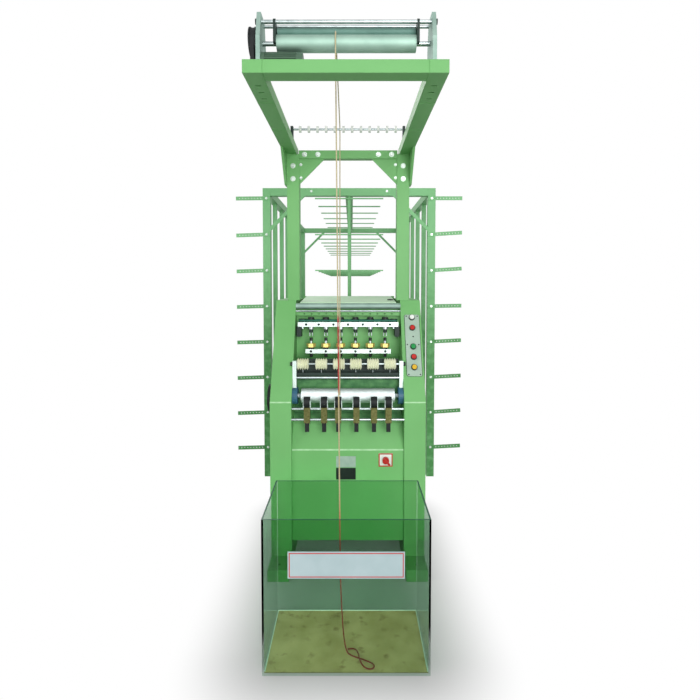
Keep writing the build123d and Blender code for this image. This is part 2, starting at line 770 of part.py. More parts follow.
# control panel on the slanted front of the right frame
slant_long = math.hypot(slant_back, body_high - bend_z)
slant_y = slant_back / slant_long
slant_z = (body_high - bend_z) / slant_long
panel_mid = (panel_s0 + panel_s1) / 2
panel_long = panel_s1 - panel_s0
lamp_s = panel_s0 + panel_long * lamp_share
button_ss = [panel_s0 + panel_long * share for share in button_shares]


def on_slant(s):
    spot = (panel_x, s * slant_y, bend_z + s * slant_z)
    return Plane(origin=spot, x_dir=(1, 0, 0), z_dir=(0, -slant_z, slant_y))


plate = Pos(0, 0, panel_thick / 2) * Box(panel_wide, panel_long, panel_thick)
plate = fillet(plate.edges().filter_by(Axis.Z), panel_corner_r)
bezel = Pos(0, 0, panel_thick + bezel_high / 2) * Cylinder(bezel_r, bezel_high)
bezel = bezel - Pos(0, 0, panel_thick + bezel_high / 2) * Cylinder(button_r + air, bezel_high)
bezels = [on_slant(s) * bezel for s in [lamp_s] + button_ss]
nodes["control_panel"] = [on_slant(panel_mid) * plate] + bezels
lamp = Pos(0, 0, panel_thick + (bezel_high + button_high) / 2) * Cylinder(button_r, bezel_high + button_high)
nodes["panel_lamp"] = [on_slant(lamp_s) * lamp]
cap = Pos(0, 0, panel_thick + button_gap + button_high / 2) * Cylinder(button_r, button_high)
for name, s in zip(("red_button", "green_button", "stop_button", "yellow_button"), button_ss):
    nodes[name] = [on_slant(s) * cap]

# rotary main switch and bare name plate on the front cover
switch_y = cover_back - switch_thick
switch_plate = block(switch_x - switch_wide / 2, switch_x + switch_wide / 2, switch_y, cover_back,
                     switch_z - switch_high / 2, switch_z + switch_high / 2)
pin_bore = rod_y(switch_x, switch_y, cover_back, switch_z, knob_pin_r + run_fit)
nodes["switch_plate"] = [switch_plate - pin_bore]
knob_back = switch_y - air
knob_front = knob_back - knob_high
knob = rod_y(switch_x, knob_front, knob_back, switch_z, knob_r)
grip = block(switch_x - knob_bar / 2, switch_x + knob_bar / 2, knob_front - knob_bar_high, knob_front,
             switch_z - knob_r - knob_tail, switch_z + knob_r)
pin = rod_y(switch_x, knob_back, cover_back + sheet, switch_z, knob_pin_r)
turned = Pos(switch_x, 0, switch_z) * Rot(0, knob_degrees, 0) * Pos(-switch_x, 0, -switch_z) * grip
nodes["switch_knob"] = [knob + turned + pin]
name_y = cover_back - name_thick
name_half = name_wide / 2
upper_name = block(name_x - name_half, name_x + name_half, name_y, cover_back, name_mid, name_top)
lower_name = block(name_x - name_half, name_x + name_half, name_y, cover_back, name_low, name_mid - name_gap)
nodes["name_plates"] = [upper_name, lower_name]

# creel posts in three lines, rails and braces
posts = []
rails = []
post_mid = creel_half - creel_post / 2
post_in = creel_half - creel_post
rail_low = creel_top - creel_post
row_ys = [creel_y + k * row_pitch for k in range(row_count)]
for k, y in enumerate(row_ys):
    end_row = k in (0, row_count - 1)
    side = creel_post if end_row else inner_post
    top = creel_top if end_row else rail_low
    mid = y + creel_post / 2
    post = block(post_mid - side / 2, post_mid + side / 2, mid - side / 2, mid + side / 2, 0, top)
    posts += mirrored(post)
    c_low = mid - centre_post / 2
    posts.append(block(-centre_post / 2, centre_post / 2, c_low, c_low + centre_post, 0, rail_low))
nodes["creel_posts"] = posts
rail_y0 = creel_y + creel_post
rail_y1 = creel_rear - creel_post
rails += mirrored(block(post_in, creel_half, rail_y0, rail_y1, rail_low, creel_top))
rails.append(block(-post_in, post_in, creel_y, rail_y0, rail_low, creel_top))
rails.append(block(-post_in, post_in, rail_y1, creel_rear, rail_low, creel_top))
rails.append(block(-creel_post / 2, creel_post / 2, rail_y0, rail_y1, rail_low, creel_top))
brace_line = [
    (post_in, rail_low - brace_run),
    (post_in, rail_low - brace_run + brace_wide),
    (post_in - brace_run + brace_wide, rail_low),
    (post_in - brace_run, rail_low),
]
for y in (creel_y, rail_y1):
    rails += mirrored(slab_y(brace_line, y, y + brace_thick))
nodes["creel_rails"] = rails

# flat guide arms on the front posts and pegs on the centre posts
strips = []
pegs = []
for k in range(tier_count):
    z = tier_first - k * tier_pitch
    strip = block(post_in, creel_half + arm_out, creel_y - strip_thick, creel_y,
                  z - arm_strip / 2, z + arm_strip / 2)
    strips += mirrored(strip)
    for y in row_ys:
        peg_y = y + (creel_post - centre_post) / 2
        pegs.append(block(-peg_half, peg_half, peg_y - peg_side, peg_y, z - peg_side / 2, z + peg_side / 2))
nodes["creel_guide_arms"] = strips
nodes["creel_pegs"] = pegs

# clear collecting bin with loose bottom sheet and bare sign plate
bin_rear = bin_front + bin_deep
bin_box = block(-bin_half, bin_half, bin_front, bin_rear, 0, bin_high)
inner_half = bin_half - bin_wall
inner_front = bin_front + bin_wall
inner_rear = bin_rear - bin_wall
bin_hollow = block(-inner_half, inner_half, inner_front, inner_rear, bin_wall, bin_high)
nodes["collecting_bin"] = [bin_box - bin_hollow]
sheet_top = bin_wall + bin_sheet_thick
nodes["bin_bottom_sheet"] = [block(-inner_half, inner_half, inner_front, inner_rear, bin_wall, sheet_top)]
front_board_top = front_board_low + front_board_high
front_board = block(-front_board_half, front_board_half, bin_front - front_board_thick, bin_front,
                    front_board_low, front_board_top)
nodes["sign_plate"] = [front_board]

# product cord: riser from the feed nip over guide and roller, then the free fall into the bin
start_y = feed_y - feed_r - air - cord_r
front_y = roller_y - wrap_r
top_z = bend_z2 + math.tan(lean) * (bend_y - front_y)
riser_points = [
    (cord_x, start_y, cord_start_z),
    (cord_x, bend_y, bend_z2),
    (cord_x, front_y, top_z),
    (cord_x, front_y, roller_z - cord_join),
]


def corner_radius(a, b, c):
    run_in = [p - q for p, q in zip(b, a)]
    run_out = [p - q for p, q in zip(c, b)]
    len_in = math.sqrt(sum(p * p for p in run_in))
    len_out = math.sqrt(sum(p * p for p in run_out))
    dot = sum(p * q for p, q in zip(run_in, run_out)) / (len_in * len_out)
    turn = math.acos(max(-1, min(1, dot)))
    return hang_bend_share * min(len_in, len_out) / math.tan(turn / 2)


def tube(points, radii):
    path = FilletPolyline(*points, radius=radii)
    ring = Plane(origin=path @ 0, z_dir=path % 0) * Circle(cord_r)
    return sweep(ring, path=path)


nodes["riser_cord"] = [tube(riser_points, [guide_r + cord_r + guide_air, wrap_r])]
floor_z = sheet_top + cord_r + air
hang_points = [
    (cord_x, front_y, roller_z - cord_join - air),
    (hang_x, front_y, hang_low),
]
for x, y, lift in loop_points:
    hang_points.append((x, y, floor_z + lift))
hang_radii = []
for a, b, c in zip(hang_points, hang_points[1:], hang_points[2:]):
    hang_radii.append(corner_radius(a, b, c))
print("cord radii", [round(r, 1) for r in hang_radii])
nodes["hanging_cord"] = [tube(hang_points, hang_radii)]

os.makedirs("parts", exist_ok=True)
for name, solids in nodes.items():
    placed = [Pos(0, centre_shift, 0) * solid for solid in solids]
    shape = placed[0] if len(placed) == 1 else Compound(children=placed)
    export_step(shape, "parts/%s.step" % name)
print(len(nodes), "nodes, shift", centre_shift)
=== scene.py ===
import math
import bpy
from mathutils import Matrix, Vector


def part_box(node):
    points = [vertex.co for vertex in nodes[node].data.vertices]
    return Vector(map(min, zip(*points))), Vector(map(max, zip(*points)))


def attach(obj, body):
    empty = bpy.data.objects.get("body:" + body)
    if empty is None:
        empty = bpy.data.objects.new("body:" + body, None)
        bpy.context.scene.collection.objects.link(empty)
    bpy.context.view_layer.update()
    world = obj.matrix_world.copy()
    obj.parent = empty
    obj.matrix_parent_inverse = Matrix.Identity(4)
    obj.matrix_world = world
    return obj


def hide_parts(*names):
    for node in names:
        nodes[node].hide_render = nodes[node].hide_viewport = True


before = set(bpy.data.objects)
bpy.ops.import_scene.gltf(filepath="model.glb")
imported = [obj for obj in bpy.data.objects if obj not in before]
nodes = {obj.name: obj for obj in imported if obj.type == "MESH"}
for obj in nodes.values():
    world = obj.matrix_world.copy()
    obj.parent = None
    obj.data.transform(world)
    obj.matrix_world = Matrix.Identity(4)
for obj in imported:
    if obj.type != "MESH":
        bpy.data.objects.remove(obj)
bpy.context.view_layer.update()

# The side frames are folded from 3 mm steel sheet, welded to their feet and sprayed with green
# machine enamel. The inner and rear panels between them are screwed in and sprayed alike.


def linear(code):
    parts = [int(code[i:i + 2], 16) / 255 for i in (1, 3, 5)]
    parts = [p / 12.92 if p <= 0.04045 else ((p + 0.055) / 1.055) ** 2.4 for p in parts]
    return (*parts, 1.0)


def put(tree, kind, settings, inputs):
    node = tree.nodes.new(kind)
    for name, value in settings.items():
        setattr(node, name, value)
    for name, value in inputs.items():
        if isinstance(value, bpy.types.NodeSocket):
            tree.links.new(value, node.inputs[name])
        else:
            node.inputs[name].default_value = value
    return node


def new_finish(name, inputs):
    finish = bpy.data.materials.new(name)
    finish.use_nodes = True
    tree = finish.node_tree
    shader = tree.nodes["Principled BSDF"]
    for socket, value in inputs.items():
        shader.inputs[socket].default_value = value
    place = put(tree, "ShaderNodeTexCoord", {}, {}).outputs["Object"]
    return finish, tree, shader, place


def per_mm(size_mm):
    return 1000.0 / size_mm


# Soft clouds between a dark and a light shade, because no coat of paint or bare metal is one flat tone.
def cloudy(tree, place, size_mm, shades):
    cloud = put(tree, "ShaderNodeTexNoise", {}, {
        "Vector": place, "Scale": per_mm(size_mm), "Detail": 3.0})
    ramp = put(tree, "ShaderNodeValToRGB", {}, {"Fac": cloud.outputs["Fac"]})
    for stop, share, shade in zip(ramp.color_ramp.elements, (0.3, 0.7), shades):
        stop.position = share
        stop.color = linear(shade)
    return ramp.outputs["Color"]


# A fine grain that breaks up the highlights, and edges that look rounded by edge_mm.
def relief(tree, shader, place, grain_mm, deep_mm, edge_mm):
    grain = put(tree, "ShaderNodeTexNoise", {}, {
        "Vector": place, "Scale": per_mm(grain_mm), "Detail": 2.0})
    rounded = put(tree, "ShaderNodeBevel", {"samples": 4}, {"Radius": edge_mm / 1000})
    bump = put(tree, "ShaderNodeBump", {}, {
        "Strength": 0.25, "Distance": deep_mm / 1000,
        "Height": grain.outputs["Fac"], "Normal": rounded.outputs["Normal"]})
    tree.links.new(bump.outputs["Normal"], shader.inputs["Normal"])


# A darker tone fades in with the height, from none where the enamel is plain to thick at full_at, both
# in metres. In the trough and on the creel it is painted shade.
def sprayed_enamel(name, shades, darker_tone, plain_from=0.16, full_at=0.0, thick=0.45):
    cloud_mm = 420
    speck_mm = 35
    finish, tree, shader, place = new_finish(name, {
        "Roughness": 0.5, "IOR": 1.5, "Specular IOR Level": 0.22,
        "Coat Weight": 0.05, "Coat Roughness": 0.25})
    height = put(tree, "ShaderNodeSeparateXYZ", {}, {"Vector": place})
    low = put(tree, "ShaderNodeMapRange", {}, {
        "Value": height.outputs["Z"], "From Min": full_at, "From Max": plain_from,
        "To Min": thick, "To Max": 0.0})
    specks = put(tree, "ShaderNodeTexNoise", {}, {
        "Vector": place, "Scale": per_mm(speck_mm), "Detail": 6.0})
    darker_mask = put(tree, "ShaderNodeMath", {"operation": "MULTIPLY"}, {
        0: low.outputs[0], 1: specks.outputs["Fac"]})
    colour = put(tree, "ShaderNodeMix", {"data_type": "RGBA"}, {
        0: darker_mask.outputs[0], 6: cloudy(tree, place, cloud_mm, shades), 7: linear(darker_tone)})
    tree.links.new(colour.outputs[2], shader.inputs["Base Color"])
    relief(tree, shader, place, grain_mm=9, deep_mm=0.25, edge_mm=2.5)
    return finish


def dress(finish, *names):
    for name in names:
        shell = nodes[name].data
        shell.materials.clear()
        shell.materials.append(finish)


anywhere = (-math.inf, math.inf)


# Only the faces whose middle lies inside the three spans, in metres, take the finish.
def dress_zone(name, finish, x=anywhere, y=anywhere, z=anywhere):
    shell = nodes[name].data
    shell.materials.append(finish)
    for face in shell.polygons:
        if all(low <= middle <= high for middle, (low, high) in zip(face.center, (x, y, z))):
            face.material_index = len(shell.materials) - 1


# Sprayed enamel is satin, a little wavy, and darker near the floor.
frame_green = ("#6CAB66", "#77B671")
green_enamel = sprayed_enamel("green machine enamel on sheet steel", frame_green, "#66705E")
dress(green_enamel, "left_side_frame", "right_side_frame", "inner_and_rear_panels")

# Inside the trough behind the feed roller, the enamel of the inner panel, and that of the folded front
# cover along its top edge, where the trough opens, is painted darker as shade for the deep recess.
recess_shade = "#265F36"
recess_shaded_enamel = sprayed_enamel("enamel with painted trough shade", frame_green, recess_shade,
                              plain_from=0.96, full_at=0.88, thick=1.4)
behind_inner_panel = -1.05
dress_zone("inner_and_rear_panels", recess_shaded_enamel, y=(-math.inf, behind_inner_panel))
# The front cover's top edge is painted dark as shade, where it dips into the trough.
cover_top_shaded_enamel = sprayed_enamel("enamel with painted shade along the top edge", frame_green, recess_shade,
                            plain_from=0.655, full_at=0.672, thick=1.2)
dress(cover_top_shaded_enamel, "front_cover")

# The handwheel on the main shaft is black moulded rubber over a cast rim, keyed to a bright
# ground steel shaft that carries the belt's drive disc inside the frame.


def plain_coat(name, shades, roughness, cloud_mm, grain_mm, edge_mm):
    finish, tree, shader, place = new_finish(name, {"Roughness": roughness, "Specular IOR Level": 0.3})
    tree.links.new(cloudy(tree, place, cloud_mm, shades), shader.inputs["Base Color"])
    relief(tree, shader, place, grain_mm, deep_mm=0.08, edge_mm=edge_mm)
    return finish


def bare_metal(name, shades, roughness, cloud_mm, grain_mm, metallic=1.0):
    finish, tree, shader, place = new_finish(name, {"Metallic": metallic, "Roughness": roughness})
    tree.links.new(cloudy(tree, place, cloud_mm, shades), shader.inputs["Base Color"])
    relief(tree, shader, place, grain_mm, deep_mm=0.03, edge_mm=0.8)
    return finish


# Moulded rubber is nearly black and dull, and its fine grain leaves only a weak sheen.
black_rubber = plain_coat("black moulded rubber", ("#0D1112", "#161B1C"),
                          roughness=0.62, cloud_mm=30, grain_mm=1.4, edge_mm=1.5)
# Ground steel is cool grey, with narrow bright highlights along a round bar.
ground_steel = bare_metal("ground bright steel", ("#9AA5A5", "#BAC5C5"),
                          roughness=0.3, cloud_mm=24, grain_mm=1.2)
dress(ground_steel, "handwheel_shaft")
handwheel_inside = -0.36
dress_zone("handwheel_shaft", black_rubber, x=(-math.inf, handwheel_inside))

# The top deck and the base of the main motor are folded sheet with a thinner, paler coat of the
# enamel, screwed between the frames. Bobbins sliding over the deck have rubbed it almost white.
deck_paint = sprayed_enamel("thin pale deck enamel", ("#C0E4BE", "#D0EECC"), "#8C9A88")
dress(deck_paint, "top_deck", "main_motor_base")

# The columns, the long arms and the beams of the gantry are square steel tube, sawn to length,
# welded at the corners, bolted to the side frames and sprayed with the same enamel as they are.
dress(green_enamel, "columns", "gantry_arms", "gantry_beams")

# Weld beads close the joints of the gantry's tubes: small round drops of steel that overlap along
# each seam and are painted over. Places are in mm from the middle of the machine's front line.
front_line = -1.355


def spot(x, y, z):
    return (x / 1000, y / 1000 + front_line, z / 1000)


def new_tree(name, sizes):
    tree = bpy.data.node_groups.new(name, "GeometryNodeTree")
    tree.interface.new_socket("Geometry", in_out="INPUT", socket_type="NodeSocketGeometry")
    for size in sizes:
        tree.interface.new_socket(size, in_out="INPUT", socket_type="NodeSocketFloat")
    tree.interface.new_socket("Finish", in_out="INPUT", socket_type="NodeSocketMaterial")
    tree.interface.new_socket("Geometry", in_out="OUTPUT", socket_type="NodeSocketGeometry")
    return tree, put(tree, "NodeGroupInput", {}, {}).outputs


def close_tree(tree, given, shape):
    solid = put(tree, "GeometryNodeRealizeInstances", {}, {"Geometry": shape})
    coated = put(tree, "GeometryNodeSetMaterial", {}, {
        "Geometry": solid.outputs[0], "Material": given["Finish"]})
    put(tree, "NodeGroupOutput", {}, {"Geometry": coated.outputs[0]})


# Each place is a point and the three angles, in degrees, that the piece is turned by there.
def grow(name, places, tree, sizes, edges=()):
    seeds = bpy.data.meshes.new(name + " places")
    seeds.from_pydata([point for point, turn in places], edges, [])
    turns = seeds.attributes.new("turn", "FLOAT_VECTOR", "POINT")
    for seed, (point, turn) in zip(turns.data, places):
        seed.vector = [math.radians(angle) for angle in turn]
    holder = bpy.data.objects.new(name, seeds)
    bpy.context.collection.objects.link(holder)
    maker = holder.modifiers.new(name, "NODES")
    maker.node_group = tree
    for item in tree.interface.items_tree:
        if item.in_out == "INPUT" and item.name in sizes:
            maker[item.identifier] = sizes[item.name]
    ready = holder.evaluated_get(bpy.context.evaluated_depsgraph_get())
    grown = bpy.data.meshes.new_from_object(ready)
    holder.modifiers.clear()
    if "turn" in grown.attributes:
        grown.attributes.remove(grown.attributes["turn"])
    holder.data = grown
    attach(holder, "machine")
    return holder


bead_tree, given = new_tree("weld bead", ["Drop radius"])
drop = put(bead_tree, "GeometryNodeMeshIcoSphere", {}, {
    "Radius": given["Drop radius"], "Subdivisions": 2})
drop = put(bead_tree, "GeometryNodeSetShadeSmooth", {}, {"Geometry": drop.outputs[0]})
size = put(bead_tree, "FunctionNodeRandomValue", {"data_type": "FLOAT"}, {2: 0.8, 3: 1.15, "Seed": 7})
row = put(bead_tree, "GeometryNodeInstanceOnPoints", {}, {
    "Points": given["Geometry"], "Instance": drop.outputs[0], "Scale": size.outputs[1]})
close_tree(bead_tree, given, row.outputs[0])
arm_inner, arm_outer = 252, 312
arm_low, arm_high = 1938, 1978
beam_front, beam_back = -690, -630
plate_ends = (-448, -151)
column_inner = 240
cross_low, cross_high, cross_front = 1916, 1956, 217
gusset_low, gusset_inner, gusset_front = 1790, 116, 223
seams = []
for side in (-1, 1):
    corner = side * arm_inner
    seams.append(((corner, beam_front, arm_low + 1), (corner, beam_front, arm_high - 1)))
    seams.append(((corner, beam_front, arm_low), (corner, beam_back, arm_low)))
    for end in plate_ends:
        seams.append(((side * (arm_inner + 1), end, arm_low), (side * (arm_outer - 1), end, arm_low)))
    for face, low, high in ((cross_front, cross_low, cross_high), (gusset_front, gusset_low, cross_low)):
        seams.append(((side * column_inner, face, low + 2), (side * column_inner, face, high - 2)))
    seams.append(((side * gusset_inner, gusset_front, cross_low),
                  (side * (column_inner - 2), gusset_front, cross_low)))
drop_pitch = 2
unturned = (0, 0, 0)
drops = []
for seam_start, seam_end in seams:
    seam = Vector(seam_end) - Vector(seam_start)
    count = int(seam.length / drop_pitch)
    for k in range(count + 1):
        drops.append((spot(*Vector(seam_start).lerp(Vector(seam_end), k / count)), unturned))
grow("gantry_weld_beads", drops, bead_tree, {"Drop radius": 0.0016, "Finish": green_enamel})

# Zinc plated hexagon bolts on washers hold the knees, the corner gussets, the tie beams and the
# rear cover. Each bolt is one instance, stood on its seat and turned to face out of it.


def stand_on_places(tree, given, shape):
    turn = put(tree, "GeometryNodeInputNamedAttribute", {"data_type": "FLOAT_VECTOR"}, {"Name": "turn"})
    stood = put(tree, "GeometryNodeInstanceOnPoints", {}, {
        "Points": given["Geometry"], "Instance": shape, "Rotation": turn.outputs["Attribute"]})
    return stood.outputs[0]


bolt_tree, given = new_tree("hexagon bolt", [
    "Head radius", "Head height", "Washer radius", "Washer height"])
washer_high, head_high = given["Washer height"], given["Head height"]
crown_share, crown_thick = 0.84, 0.0012
crown_wide = put(bolt_tree, "ShaderNodeMath", {"operation": "MULTIPLY"}, {
    0: given["Head radius"], 1: crown_share})
bolt = put(bolt_tree, "GeometryNodeJoinGeometry", {}, {})
# Washer, hexagon and the turned crown on it: each disc's middle is a share of a height above its seat.
for corners, radius, thick, height, share, seat in (
        (24, given["Washer radius"], washer_high, washer_high, 0.5, 0.0),
        (6, given["Head radius"], head_high, head_high, 0.5, washer_high),
        (20, crown_wide.outputs[0], crown_thick, head_high, 1.0, washer_high)):
    disc = put(bolt_tree, "GeometryNodeMeshCylinder", {}, {
        "Vertices": corners, "Radius": radius, "Depth": thick})
    middle = put(bolt_tree, "ShaderNodeMath", {"operation": "MULTIPLY_ADD"}, {
        0: height, 1: share, 2: seat})
    lift = put(bolt_tree, "ShaderNodeCombineXYZ", {}, {"Z": middle.outputs[0]})
    lifted = put(bolt_tree, "GeometryNodeTransform", {}, {
        "Geometry": disc.outputs[0], "Translation": lift.outputs[0]})
    bolt_tree.links.new(lifted.outputs[0], bolt.inputs[0])
close_tree(bolt_tree, given, stand_on_places(bolt_tree, given, bolt.outputs[0]))
# Zinc plate is a pale, slightly green grey, with soft highlights.
zinc_plate = bare_metal("zinc plated bolt steel", ("#A9B8AE", "#C6D2C8"),
                        roughness=0.42, cloud_mm=6, grain_mm=1.0)
to_front, to_back = (90, 0, 0), (-90, 0, 0)
to_left, to_right = (0, -90, 0), (0, 90, 0)
knee_spots = ((270, 1881), (270, 1818), (213, 1936), (148, 1936))
knee_bolts = [(spot(side * x, cross_front, z), to_front) for side in (-1, 1) for x, z in knee_spots]
large_bolt = {"Head radius": 0.009, "Head height": 0.006,
              "Washer radius": 0.0125, "Washer height": 0.002, "Finish": zinc_plate}
knees = grow("knee_bolts", knee_bolts, bolt_tree, large_bolt)
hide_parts("frame_bolts")
gusset_bolt_x, gusset_bolt_z = 232, (1888, 1824)
cover_bolt_x, cover_bolt_z, rear_cover_face = 246, (160, 420, 680, 940, 1200), 560
frame_side = 355
tie_bolt_y, tie_bolt_z = (72, 88, 412, 428), 140
bearing_bolt_y, bearing_bolt_z = (120, 210), (703, 793)
small_bolts = []
for side, outward in ((-1, to_left), (1, to_right)):
    small_bolts += [(spot(side * gusset_bolt_x, gusset_front, z), to_front) for z in gusset_bolt_z]
    small_bolts += [(spot(side * cover_bolt_x, rear_cover_face, z), to_back) for z in cover_bolt_z]
    small_bolts += [(spot(side * frame_side, y, tie_bolt_z), outward) for y in tie_bolt_y]
    for z in bearing_bolt_z:
        small_bolts += [(spot(side * frame_side, y, z), outward) for y in bearing_bolt_y]
small_bolt = {"Head radius": 0.0055, "Head height": 0.004,
              "Washer radius": 0.0075, "Washer height": 0.001, "Finish": zinc_plate}
grow("frame_and_cover_bolts", small_bolts, bolt_tree, small_bolt)

# The bends of the side frames and the fold of the front cover are rolled round in the sheet, and a pale
# enamel along them is a painted highlight.
roll_tree, given = new_tree("bead along a line", ["Bead radius"])
round_edge = put(roll_tree, "GeometryNodeCurvePrimitiveCircle", {}, {
    "Resolution": 12, "Radius": given["Bead radius"]})
route = put(roll_tree, "GeometryNodeMeshToCurve", {}, {"Mesh": given["Geometry"]})
tube = put(roll_tree, "GeometryNodeCurveToMesh", {}, {
    "Curve": route.outputs[0], "Profile Curve": round_edge.outputs[0], "Fill Caps": True})
close_tree(roll_tree, given, tube.outputs[0])
# The bend's enamel is glossier, and paler as a painted highlight, so a bend shows as a bright thin line.
bend_highlight_enamel = plain_coat("enamel with painted highlight on bends", ("#94CB8F", "#B6DFB2"),
                           roughness=0.3, cloud_mm=30, grain_mm=3, edge_mm=0.5)
bend_x, bend_y, bend_z = (-354, -258, 258, 354), 5.4, 763
fold_x, fold_y, fold_z = (-256, 256), 17.45, 540.6
bend_ends = [(spot(x, bend_y, bend_z), unturned) for x in bend_x]
bend_ends += [(spot(x, fold_y, fold_z), unturned) for x in fold_x]
grow("rolled_bends", bend_ends, roll_tree, {"Bead radius": 0.0058, "Finish": bend_highlight_enamel},
     [(0, 1), (2, 3), (4, 5)])

# A rubber grommet lines the cable hole at the right end of the deck. It is moulded with a groove
# and pressed into the sheet, and lies with the deck's slope.


def closed_line(count):
    return [(k, (k + 1) % count) for k in range(count)]


hole_x, hole_y, hole_half_wide, hole_half_deep = 218, 330, 13, 11
deck_front_y, deck_front_z, deck_deep, deck_rise = 217, 1212.6, 340, 22
grommet_points = 20
grommet = []
for k in range(grommet_points):
    around = 2 * math.pi * k / grommet_points
    x = hole_x + hole_half_wide * math.cos(around)
    y = hole_y + hole_half_deep * math.sin(around)
    grommet.append((spot(x, y, deck_front_z + (y - deck_front_y) * deck_rise / deck_deep), unturned))
grow("deck_grommet", grommet, roll_tree, {"Bead radius": 0.0035, "Finish": black_rubber},
     closed_line(grommet_points))

# The two side plates of the take-up are milled aluminium, bolted on the arms. The roller between
# them is a drawn aluminium tube on a steel shaft, with a black belt wheel at its left end, and the
# nip roller over it is covered with rubber. The motor is flanged to the left plate.
belt_wheel_inside, tube_half = -0.304, 0.2395
# Milled aluminium is a dull greenish grey: the cutter's marks spread its highlights wide.
milled_plate = bare_metal("milled aluminium plate", ("#8BA399", "#A0B7AD"),
                          roughness=0.7, cloud_mm=60, grain_mm=2.0)
# A drawn tube is smoother and paler, with one broad soft band of light along it.
drawn_tube = bare_metal("drawn aluminium tube", ("#9AB6A9", "#AAC5B8"),
                        roughness=0.66, cloud_mm=80, grain_mm=1.6)
dress(milled_plate, "take_up_plates", "motor_pinion")
dress(drawn_tube, "take_up_roller")
dress_zone("take_up_roller", black_rubber, x=(-math.inf, belt_wheel_inside))
dress_zone("take_up_roller", ground_steel, x=(belt_wheel_inside, -tube_half))
dress_zone("take_up_roller", ground_steel, x=(tube_half, math.inf))
# Roller rubber is matt and even, so it stays darker than the metal tube under it.
nip_rubber = plain_coat("grey green roller rubber", ("#5E8378", "#6B9085"),
                        roughness=0.55, cloud_mm=40, grain_mm=1.5, edge_mm=0.6)
dress(nip_rubber, "nip_roller")
# Motor paint is a flat dark grey green with a faint orange peel.
motor_paint = plain_coat("grey green motor paint", ("#47604F", "#536D5A"),
                         roughness=0.5, cloud_mm=50, grain_mm=2, edge_mm=1.0)
dress(motor_paint, "take_up_motor")
dress(black_rubber, "take_up_belt")

# The steel rods run through both plates and the frames, and the bar under the deck is milled dull.
# The guide rod carries white glazed rings that keep the cords apart, held in black brackets.
dress(ground_steel, "steel_rods")
deck_bar_low, deck_bar_high = 1.18, 1.21
dress_zone("steel_rods", milled_plate, z=(deck_bar_low, deck_bar_high))
# Glaze is white and very smooth, so each ring has a sharp small highlight.
glaze = plain_coat("white glazed ceramic", ("#DCE3DA", "#E8EDE6"),
                   roughness=0.16, cloud_mm=12, grain_mm=3, edge_mm=0.6)
dress(glaze, "guide_rings")
# Black oxide is a thin oiled skin on the steel: near black with a green cast and a soft sheen.
black_oxide = plain_coat("black oxide bracket steel", ("#14241F", "#1D322B"),
                         roughness=0.48, cloud_mm=30, grain_mm=1.6, edge_mm=0.8)
dress(black_oxide, "dark_brackets")

# The two head bars are milled aluminium. The upper one carries the six turning heads and their
# dark green belt, the lower one the needle tubes with their brass nuts.
head_count = 6
# A satin bar is pale, and bright all over under a large soft lamp.
satin_bar = bare_metal("satin milled aluminium bar", ("#B4C4BE", "#C8D6D0"),
                       roughness=0.45, cloud_mm=40, grain_mm=1.8)
dress(satin_bar, "head_bars")
# Belt rubber is dark blue green and matt.
belt_rubber = plain_coat("dark green timing belt rubber", ("#125744", "#1B6A54"),
                         roughness=0.6, cloud_mm=20, grain_mm=1, edge_mm=0.5)
dress(belt_rubber, "drive_belt")
dress(ground_steel, "needle_cylinders")
collar_low, collar_high = 0.98, 0.9965
tail_low, tail_high = 0.90, 0.9665
dress_zone("needle_cylinders", black_rubber, z=(collar_low, collar_high))
dress_zone("needle_cylinders", black_rubber, z=(tail_low, tail_high))
# Turned brass is light yellow with wide highlights. As a full metal it would mirror the dark recess
# round it and turn brown, so it is only partly metallic.
turned_brass = bare_metal("turned brass", ("#DCC468", "#ECDA8C"),
                          roughness=0.45, cloud_mm=8, grain_mm=3.0, metallic=0.6)
dress(turned_brass, "brass_rings")
# Moulded pulley plastic is black with a soft, fairly bright highlight.
pulley_black = plain_coat("black pulley plastic", ("#111917", "#18221F"),
                          roughness=0.4, cloud_mm=20, grain_mm=1.4, edge_mm=0.6)
pulley_low = 1.1175
clamp_low, clamp_high = 1.0665, 1.0835
for head in range(1, head_count + 1):
    dress(ground_steel, f"flyer_head_{head}")
    dress_zone(f"flyer_head_{head}", pulley_black, z=(pulley_low, math.inf))
    dress_zone(f"flyer_head_{head}", black_oxide, z=(clamp_low, clamp_high))
idler_low = 1.1182
stud_low, stud_high = 1.08, 1.0958
dress_zone("head_bars", pulley_black, z=(idler_low, math.inf))
dress_zone("head_bars", ground_steel, z=(stud_low, stud_high))

# Black set screws hold the heads and the needle tubes in their bars, driven in from the front.
# Each is a turned barrel with a chamfered rim, stood on its place and turned to face out of it.
screw_tree, given = new_tree("socket screw", ["Head radius", "Head height"])
chamfer_thick, chamfer_share = 0.0006, 0.75
barrel = put(screw_tree, "GeometryNodeMeshCylinder", {}, {
    "Vertices": 16, "Radius": given["Head radius"], "Depth": given["Head height"]})
narrow = put(screw_tree, "ShaderNodeMath", {"operation": "MULTIPLY"}, {
    0: given["Head radius"], 1: chamfer_share})
chamfer = put(screw_tree, "GeometryNodeMeshCone", {}, {
    "Vertices": 16, "Radius Bottom": given["Head radius"], "Radius Top": narrow.outputs[0],
    "Depth": chamfer_thick})
half = put(screw_tree, "ShaderNodeMath", {"operation": "MULTIPLY"}, {0: given["Head height"], 1: 0.5})
lift = put(screw_tree, "ShaderNodeCombineXYZ", {}, {"Z": half.outputs[0]})
rim = put(screw_tree, "GeometryNodeTransform", {}, {
    "Geometry": chamfer.outputs[0], "Translation": lift.outputs[0]})
screw = put(screw_tree, "GeometryNodeJoinGeometry", {}, {})
screw_tree.links.new(barrel.outputs[0], screw.inputs[0])
screw_tree.links.new(rim.outputs[0], screw.inputs[0])
close_tree(screw_tree, given, stand_on_places(screw_tree, given, screw.outputs[0]))
bar_front = 154.5
upper_screw_x, upper_screw_z = (-203, -142, -71, 0, 71, 142, 203), 1107
head_x, lower_screw_z = (-180, -108, -36, 36, 108, 180), 976.5
